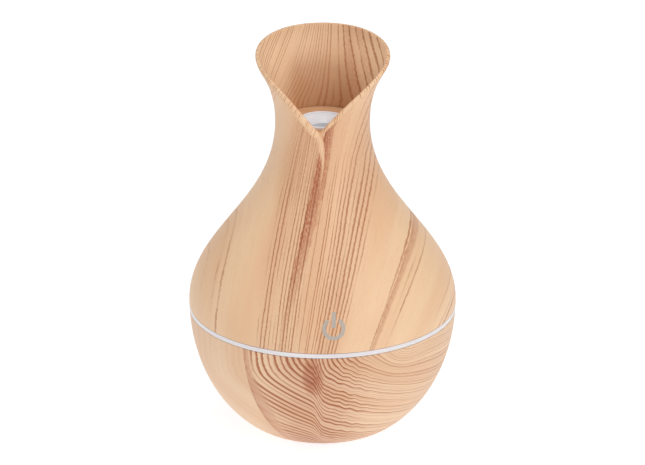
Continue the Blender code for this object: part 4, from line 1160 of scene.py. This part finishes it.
def mesh_disc():
    """A thin plate with a low dome in the middle."""
    low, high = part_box("mesh_disc")
    rise, dome = 0.15 * MM, 3 * MM
    top = [(r, high.z + rise * float(smooth(1 - r / dome))) for r in np.linspace(0, high.x, 24)]
    bottom = [(r, z - (high.z - low.z)) for r, z in reversed(top)]
    stand_in("mesh_disc", turned_mesh(top + bottom, 64), atomiser_steel, "domed")


neck_shelf()
mist_nozzle()
mesh_disc()

# ---------------------------------------------------------------- tank


def tank_liner():
    """The water tank, with a raised line inside that marks how far to fill it."""
    low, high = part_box("tank_liner")
    depth = WALL + 0.4 * MM
    inner = depth + 1.5 * MM
    floor_z = low.z + 1.5 * MM
    flange_z = high.z - 1.1 * MM
    seat_z, seat_radius = 38.0 * MM, 43.1 * MM
    fill_z = 31.0 * MM
    near_line = np.linspace(fill_z - 0.8 * MM, fill_z + 0.8 * MM, 9)
    heights = np.unique([*np.linspace(floor_z, seat_z - 2.8 * MM, 40), *near_line])
    ridge = 0.4 * MM * bump(heights, fill_z, 0.35 * MM)
    below = list(zip(radius_at(heights, inner) - ridge, heights))
    seat = [(seat_radius, seat_z - 1.4 * MM), (seat_radius, seat_z)]
    outline = [(0, low.z), *wall_points(low.z, flange_z, 50, depth), (high.x, flange_z), (high.x, high.z)]
    outline += [*reversed(wall_points(seat_z, high.z, 6, inner)), *reversed(seat)]
    outline += [*reversed(below), (0, floor_z)]
    stand_in("tank_liner", turned_mesh(outline, 160), clear_white)


def foot_pad(node):
    """A soft pad with a groove near its edge."""
    low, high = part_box(node)
    edge, top = high.x - (low.x + high.x) / 2, high.z
    groove = [(2.2 * MM, 0), (2.4 * MM, 0.25 * MM), (2.8 * MM, 0.25 * MM), (3.0 * MM, 0)]
    outline = rounded([(0, 0), *groove, (edge, 0), (edge, top), (0, top)], 0.2 * MM)
    mesh = moved(turned_mesh(outline, 48), *((low + high) / 2)[:2])
    stand_in(node, mesh, rubber)


def tank_seal():
    """A soft ring with two fins that press on the tank."""
    low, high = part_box("tank_seal")
    fin = high.x
    inner, web = fin - 1.35 * MM, fin - 0.55 * MM
    heights = [low.z + h * MM for h in (0, 0.8, 1.2, 2.2, 2.6, 3.6)]
    radii = (fin, fin, web, web, fin, web)
    outline = [(inner, heights[0]), *zip(radii, heights), (inner, heights[5])]
    stand_in("tank_seal", turned_mesh(rounded(outline, 0.2 * MM), 160), silicone)


tank_liner()
tank_seal()
for node in FOOT_PADS:
    foot_pad(node)

# ---------------------------------------------------------------- chassis and screws


def chassis():
    """The plate with its skirt, wick socket, board posts and six stiffening ribs."""
    low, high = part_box("chassis")
    plate_low, plate_high = 46.3 * MM, CHASSIS_PLATE_Z
    skirt, skirt_in, socket, socket_out, socket_low = 42.7 * MM, 41.2 * MM, 7.3 * MM, 8.9 * MM, 44.5 * MM
    post_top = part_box("main_board")[0].z - GAP
    outline = [(socket, socket_low), (socket_out, socket_low), (socket_out, plate_low), (skirt_in, plate_low)]
    outline += [(skirt_in, low.z), (skirt - 0.6 * MM, low.z), (skirt, low.z + MM), (skirt, plate_low)]
    outline += [(high.x, plate_low), (high.x, plate_high), (socket_out, plate_high), (socket_out, high.z)]
    outline += [(socket, high.z)]
    obj = stand_in("chassis", turned_mesh(rounded(outline, 0.25 * MM), 144), white_plastic)
    ribs = []
    for azimuth in SIXTHS:
        rib_low = (-0.6 * MM, -36 * MM, plate_high - MM)
        rib_high = (0.6 * MM, -8.5 * MM, plate_high + 0.8 * MM)
        ribs.append(moved(block_mesh(rib_low, rib_high, 0.15 * MM), turn=azimuth))
    posts = rods(2.4 * MM, plate_high - MM, post_top, POST_CIRCLE, OPPOSITE)
    combine(obj, joined([*ribs, posts]), "UNION")
    bores = rods(SCREW_HOLE, plate_high, post_top + MM, POST_CIRCLE, OPPOSITE)
    holes = rods(SCREW_HOLE, plate_low - MM, plate_high + MM, BOSS_CIRCLE, THIRDS)
    combine(obj, joined([bores, holes]))


def screw(node, upwards):
    """A pan-head screw with a cross recess and a thread."""
    low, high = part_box(node)
    length = high.z - low.z
    head = [(0, 0), (1.2, 0.05), (1.7, 0.22), (2.05, 0.55), (2.2, 0.95), (2.2, 1.25), (2.1, 1.3), (0.95, 1.3)]
    outline = [(r * MM, z * MM) for r, z in head]
    ridges = np.arange(1.7 * MM, length - 0.9 * MM, 0.55 * MM)
    for z in ridges:
        outline += [(0.76 * MM, z), (0.95 * MM, z + 0.22 * MM), (0.76 * MM, z + 0.44 * MM)]
    mesh = turned_mesh([*outline, (0, length)], 24)
    if not upwards:
        mesh.transform(Matrix.Rotation(math.pi, 4, "X"))
    middle = (low + high) / 2
    end = low.z if upwards else high.z
    obj = stand_in(node, moved(mesh, middle.x, middle.y, end), steel)
    arm, half, deep = 1.15 * MM, 0.24 * MM, 0.7 * MM
    arms = [((-arm, -half, -deep), (arm, half, deep)), ((-half, -arm, -deep), (half, arm, deep))]
    for corner, far_corner in arms:
        combine(obj, moved(block_mesh(corner, far_corner), middle.x, middle.y, end))


def light_emitting_diode(node, azimuth):
    """A side-facing lamp: a white body with a yellow window outwards and two soldered ends."""
    low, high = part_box(node)
    body = block_mesh(MM * Vector((-1.4, -1.70, 0)), MM * Vector((1.4, 1.75, 1.3)), 0.12 * MM)
    window = block_mesh(MM * Vector((-1.1, -1.75, 0.25)), MM * Vector((1.1, -1.6, 1.05)), 0.04 * MM)
    ends = []
    for x in (-1, 1):
        ends.append(block_mesh(MM * Vector((x - 0.25, 0.9, 0.7)), MM * Vector((x + 0.25, 1.76, 1.29))))
    mesh = joined([body, window, *ends], (0, 1, 2, 2))
    middle = (low + high) / 2
    mesh = moved(mesh, middle.x, middle.y, low.z, azimuth)
    stand_in(node, mesh, [white_plastic, phosphor, steel])


chassis()
for i in range(1, 4):
    screw(f"chassis_screw_{i}", True)
    screw(f"carrier_screw_{i}", True)
    screw(f"board_screw_{i}", False)
for i, azimuth in enumerate(SIXTHS):
    light_emitting_diode(f"led_{i + 1}", azimuth)

# ---------------------------------------------------------------- boards and what is on them


def main_board():
    """The ring-shaped board, with a tab at the back for the socket."""
    low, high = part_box("main_board")
    hole, edge, tab = 11.0 * MM, -low.y, 5.5 * MM
    outline = rounded(collar_outline(hole, edge, low.z, high.z), 0.08 * MM, 1)
    obj = stand_in("main_board", turned_mesh(outline, 128), board_green)
    combine(obj, block_mesh((-tab, 0.8 * edge, low.z), (tab, high.y, high.z)), "UNION")
    wide = rods(3.2 * MM, low.z - MM, high.z + MM, BOSS_CIRCLE, THIRDS)
    narrow = rods(SCREW_HOLE, low.z - MM, high.z + MM, POST_CIRCLE, OPPOSITE)
    combine(obj, joined([wide, narrow]))


def driver_chip():
    """A moulded body with four bent legs on each long side."""
    low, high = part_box("driver_chip")
    inset, half = 0.9 * MM, 0.2 * MM
    sole_high, knee_low, knee_high = (low.z + h * MM for h in (0.18, 0.65, 0.83))
    body = block_mesh((low.x, low.y + inset, low.z + 0.15 * MM), (high.x, high.y - inset, high.z), 0.15 * MM)
    legs = []
    for x in np.linspace(low.x + 0.9 * MM, high.x - 0.9 * MM, 4):
        for edge, inwards in ((low.y, 1), (high.y, -1)):
            sole = sorted((edge, edge + inwards * 0.55 * MM))
            riser = sorted((edge + inwards * 0.4 * MM, edge + inwards * 0.58 * MM))
            knee = sorted((edge + inwards * 0.45 * MM, edge + inwards * (inset + 0.1 * MM)))
            bars = [(sole, low.z, sole_high), (riser, low.z, low.z + 0.8 * MM), (knee, knee_low, knee_high)]
            for (y_low, y_high), z_low, z_high in bars:
                legs.append(block_mesh((x - half, y_low, z_low), (x + half, y_high, z_high)))
    mesh = joined([body, *legs], [0] + [1] * len(legs))
    stand_in("driver_chip", mesh, [black_plastic, steel])


def power_inductor():
    """A ferrite bobbin wound with copper."""
    low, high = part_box("power_inductor")
    middle = (low + high) / 2
    edge, height = high.x - middle.x, high.z - low.z
    waist, flange = edge - 0.9 * MM, 0.9 * MM
    outline = [(0, 0), (edge, 0), (edge, flange), (waist, flange), (waist, height - flange)]
    outline += [(edge, height - flange), (edge, height), (0, height)]
    core = turned_mesh(rounded(outline, 0.15 * MM), 48)
    turns, under = 8, waist - 0.3 * MM
    step = (height - 2 * flange) / turns
    winding = [(under, flange)]
    for i in range(turns):
        for t in (0.1, 0.35, 0.65, 0.9):
            winding.append((waist + step * math.sin(math.pi * t), flange + (i + t) * step))
    winding.append((under, height - flange))
    mesh = moved(joined([core, turned_mesh(winding, 48)], (0, 1)), middle.x, middle.y, low.z)
    stand_in("power_inductor", mesh, [black_plastic, copper])


def smoothing_capacitor():
    """A crimped can."""
    low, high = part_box("smoothing_capacitor")
    middle = (low + high) / 2
    edge, height = high.x - middle.x, high.z - low.z
    narrow, top = edge - 0.35 * MM, height - 0.2 * MM
    crimp = [(edge, 0.9 * MM), (narrow, 1.15 * MM), (narrow, 1.4 * MM), (edge, 1.65 * MM)]
    rim = [(edge, height), (edge - 0.5 * MM, height), (edge - 0.7 * MM, top), (0, top)]
    mesh = turned_mesh(rounded([(0, 0), (edge, 0), *crimp, *rim], 0.2 * MM), 48)
    stand_in("smoothing_capacitor", moved(mesh, middle.x, middle.y, low.z), can_metal)


def wire_connector():
    """The plug for the atomiser's wires, with two entries on top."""
    low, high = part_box("wire_connector")
    obj = stand_in("wire_connector", block_mesh(low, high, 0.4 * MM), white_plastic)
    entries = [rod(0.85 * MM, high.z - 2 * MM, high.z + MM, (x, PLUG_Y), 24) for x in PLUG_X]
    combine(obj, joined(entries))


def usb_outline(width, height, z_low):
    """The socket's cross-section in X and Z, with its two lower corners cut."""
    half, cut = width / 2, 0.3 * height
    low_edge = [(-half, z_low + cut), (-half + cut, z_low), (half - cut, z_low), (half, z_low + cut)]
    return rounded([*low_edge, (half, z_low + height), (-half, z_low + height)], 0.45 * MM, 4, False)


def usb_socket():
    """A steel tube, open at the back."""
    low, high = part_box("usb_socket")
    width, height, wall = high.x - low.x, high.z - low.z, 0.35 * MM
    mesh = extruded_mesh(usb_outline(width, height, low.z), low.y, high.y)
    obj = stand_in("usb_socket", mesh, inlet_steel)
    inner = usb_outline(width - 2 * wall, height - 2 * wall, low.z + wall)
    combine(obj, extruded_mesh(inner, low.y + MM, high.y + MM))


def usb_tongue():
    """The socket's tongue, with five contacts."""
    low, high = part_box("usb_tongue")
    tongue = block_mesh(low, high, 0.08 * MM)
    contacts = []
    for x in np.linspace(low.x + 0.5 * MM, high.x - 0.5 * MM, 5):
        corner = (x - 0.16 * MM, low.y + 0.5 * MM, low.z - 0.03 * MM)
        contacts.append(block_mesh(corner, (x + 0.16 * MM, high.y - 0.2 * MM, low.z + 0.05 * MM)))
    stand_in("usb_tongue", joined([tongue, *contacts], [0] + [1] * 5), [black_plastic, gold])


def touch_board():
    """The touch sensor: a small board with a copper face that lies along the front wall."""
    low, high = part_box("touch_board")
    middle = (low + high) / 2
    radius, thick = 5.5 * MM, 0.8 * MM
    azimuth = math.atan2(middle.x, -middle.y)
    slope = (radius_at(middle.z + MM) - radius_at(middle.z - MM)) / (2 * MM)
    outline = rounded([(0, -thick / 2), (radius, -thick / 2), (radius, thick / 2), (0, thick / 2)], 0.08 * MM)
    board = turned_mesh(outline, 64)
    face = rod(4.7 * MM, thick / 2 - 0.02 * MM, thick / 2 + 0.03 * MM, steps=64)
    mesh = joined([board, face], (0, 1))
    tilt = Matrix.Rotation(math.pi / 2 + math.atan(slope), 4, "X")
    mesh.transform(Matrix.Translation(middle) @ Matrix.Rotation(azimuth, 4, "Z") @ tilt)
    stand_in("touch_board", mesh, [board_green, copper])


PLUG_LOW, PLUG_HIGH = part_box("wire_connector")
PLUG_X = (-17.5 * MM, -15.0 * MM)
PLUG_Y = (PLUG_LOW.y + PLUG_HIGH.y) / 2
WIRE_RADIUS = 0.6 * MM
WIRE_AZIMUTH = math.radians(240)


def wires():
    """The atomiser's two wires up the neck, and the touch sensor's one along the board."""
    covers = [("piezo_wire_red", 1, red_cover, "red_wire")]
    covers.append(("piezo_wire_black", -1, black_plastic, "black_plastic"))
    for (node, side, mat, slot), x in zip(covers, PLUG_X):
        top_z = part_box(node)[1].z
        x_top, y_top, _ = around(10.8 * MM, WIRE_AZIMUTH + side * math.radians(7))
        start = PLUG_HIGH.z
        route = [(x, PLUG_Y, start - MM), (x, PLUG_Y, start + 0.4 * MM), (x, PLUG_Y, start + 5.4 * MM)]
        route += [(x_top - 3.0 * MM, y_top - 8.0 * MM, 72 * MM), (x_top, y_top, 90 * MM)]
        route += [(x_top, y_top, 100 * MM), (x_top, y_top, top_z)]
        stand_in(node, tube_mesh(smooth_route(route), WIRE_RADIUS, 16), mat)
    low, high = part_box("touch_wire")
    x, y = high.x - WIRE_RADIUS, low.y
    route = [(x, y, 57.0 * MM), (x, y + 3.7 * MM, 57.5 * MM), (x - MM, y + 8.7 * MM, 55.5 * MM)]
    route += [(x - MM, y + 10.2 * MM, 53.2 * MM)]
    mesh = tube_mesh(smooth_route(route), WIRE_RADIUS, 16)
    stand_in("touch_wire", mesh, black_plastic)


main_board()
driver_chip()
power_inductor()
smoothing_capacitor()
wire_connector()
usb_socket()
usb_tongue()
touch_board()
wires()

# ---------------------------------------------------------------- atomiser


def atomiser_gasket():
    """A soft ring with a slot inside that holds the disc."""
    low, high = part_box("atomiser_gasket")
    lip, slot = 5.4 * MM, high.x - 0.55 * MM
    slot_low, slot_high = low.z + 0.65 * MM, high.z - 0.65 * MM
    outline = [(lip, low.z), (high.x, low.z), (high.x, high.z), (lip, high.z), (lip, slot_high)]
    outline += [(slot, slot_high), (slot, slot_low), (lip, slot_low)]
    stand_in("atomiser_gasket", turned_mesh(rounded(outline, 0.12 * MM), 96), silicone)


def piezo_ring():
    """The ceramic ring on the disc."""
    low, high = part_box("piezo_ring")
    hole = 4.0 * MM
    outline = rounded(collar_outline(hole, high.x, low.z, high.z), 0.05 * MM)
    stand_in("piezo_ring", turned_mesh(outline, 96), ceramic)


def atomiser_carrier():
    """The cup that clamps the gasket and takes the top of the wick's sleeve."""
    low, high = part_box("atomiser_carrier")
    plate_low, floor_z = 108.8 * MM, 110.3 * MM
    cup, tube, bore = 9.0 * MM, 6.3 * MM, 4.6 * MM
    outline = [(tube, low.z), (tube + 1.2 * MM, low.z), (tube + 1.2 * MM, plate_low), (high.x, plate_low)]
    outline += [(high.x, floor_z), (cup + 0.9 * MM, floor_z), (cup + 0.9 * MM, high.z), (cup, high.z)]
    outline += [(cup, floor_z), (bore, floor_z), (bore, plate_low - 1.2 * MM), (tube, plate_low - 1.2 * MM)]
    mesh = turned_mesh(rounded(outline, 0.15 * MM), 96)
    obj = stand_in("atomiser_carrier", mesh, white_plastic)
    holes = rods(SCREW_HOLE, plate_low - MM, floor_z + MM, SHELF_BOSS_CIRCLE, THIRDS)
    combine(obj, holes)
    combine(obj, rods(2.2 * MM, floor_z, high.z + MM, SHELF_BOSS_CIRCLE, THIRDS))


atomiser_gasket()
piezo_ring()
atomiser_carrier()

# ---------------------------------------------------------------- wick

SLEEVE_RADIUS = 5.9 * MM


def wick_sleeve():
    """The tube round the wick, with slots that let the water in, and a scalloped grip."""
    low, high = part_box("wick_sleeve")
    collar, grip, bore = 6.9 * MM, high.x, 4.5 * MM
    grip_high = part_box("chassis")[0].z + 6.8 * MM
    ring_low, ring_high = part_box("sleeve_o_ring")
    groove, collar_high = collar - MM, (ring_low.z + ring_high.z) / 2 + 3.0 * MM
    outline = [(bore, low.z), (SLEEVE_RADIUS, low.z), (SLEEVE_RADIUS, grip_high - 1.6 * MM)]
    outline += [(grip, grip_high - 1.6 * MM), (grip, grip_high), (collar, grip_high)]
    outline += [(collar, ring_low.z - 0.25 * MM), (groove, ring_low.z - 0.25 * MM)]
    outline += [(groove, ring_high.z + 0.25 * MM), (collar, ring_high.z + 0.25 * MM)]
    outline += [(collar, collar_high - MM), (SLEEVE_RADIUS, collar_high)]
    outline += [(SLEEVE_RADIUS, high.z), (bore, high.z)]
    mesh = turned_mesh(rounded(outline, 0.2 * MM), 80)
    obj = stand_in("wick_sleeve", mesh, white_plastic)
    half, reach = 1.3 * MM, 9.0 * MM
    for turn in (0, math.pi / 2):
        slot = block_mesh((-reach, -half, 20 * MM), (reach, half, 36 * MM), half * 0.95, 6)
        combine(obj, moved(slot, turn=turn))
    scallops = [math.radians(30 * i) for i in range(12)]
    combine(obj, rods(1.3 * MM, grip_high - 2 * MM, grip_high + MM, grip + 0.8 * MM, scallops))


def sleeve_o_ring():
    """A round ring in the sleeve's groove."""
    low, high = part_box("sleeve_o_ring")
    wire, z = (high.z - low.z) / 2, (high.z + low.z) / 2
    middle = high.x - wire
    turns = np.linspace(0, math.tau, 20, endpoint=False)
    outline = [(middle + wire * math.cos(a), z + wire * math.sin(a)) for a in turns]
    stand_in("sleeve_o_ring", turned_mesh(outline, 96), silicone)


def sleeve_end_cap():
    """The cap that closes the sleeve, with four drain holes and grooves for the fingers."""
    low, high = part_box("sleeve_end_cap")
    inner, floor_z = SLEEVE_RADIUS + 0.3 * MM, low.z + 1.6 * MM
    outline = [(0, low.z), (high.x - 0.8 * MM, low.z), (high.x, low.z + 0.8 * MM), (high.x, high.z)]
    outline += [(inner, high.z), (inner, floor_z), (0, floor_z)]
    mesh = turned_mesh(rounded(outline, 0.2 * MM), 80)
    obj = stand_in("sleeve_end_cap", mesh, white_plastic)
    quarters = [math.radians(45 + 90 * i) for i in range(4)]
    combine(obj, rods(0.9 * MM, low.z - MM, floor_z + MM, 2.6 * MM, quarters))
    grooves = [math.radians(15 * i) for i in range(24)]
    combine(obj, rods(0.5 * MM, low.z + 1.6 * MM, high.z + MM, high.x + 0.2 * MM, grooves, 16))


def wick_spring():
    """A coil of wire whose first and last half turns lie flat."""
    low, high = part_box("wick_spring")
    wire, turns = 0.3 * MM, 5
    radius = 3.0 * MM
    turn = np.linspace(0, turns, turns * 40 + 1)
    opened = np.clip(turn - 0.5, 0, turns - 1)
    flat_pitch = 1.4 * MM
    pitch = (high.z - low.z - 2 * wire - flat_pitch) / (turns - 1)
    z = low.z + wire + flat_pitch * (turn - opened) + pitch * opened
    route = np.column_stack([radius * np.sin(math.tau * turn), -radius * np.cos(math.tau * turn), z])
    obj = stand_in("wick_spring", tube_mesh(route, wire), spring_steel)
    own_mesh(obj)


def wick():
    """A pressed cotton stick with eased ends."""
    low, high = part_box("wick")
    edge, ease = high.x, 0.7 * MM
    turns = np.linspace(0, math.pi / 2, 6)
    arc = [(edge - ease + ease * math.sin(a), ease - ease * math.cos(a)) for a in turns]
    bottom = [(r, low.z + h) for r, h in arc]
    top = [(r, high.z - h) for r, h in reversed(arc)]
    stand_in("wick", turned_mesh([(0, low.z), *bottom, *top, (0, high.z)], 64), cotton)


wick_sleeve()
sleeve_o_ring()
sleeve_end_cap()
wick_spring()
wick()
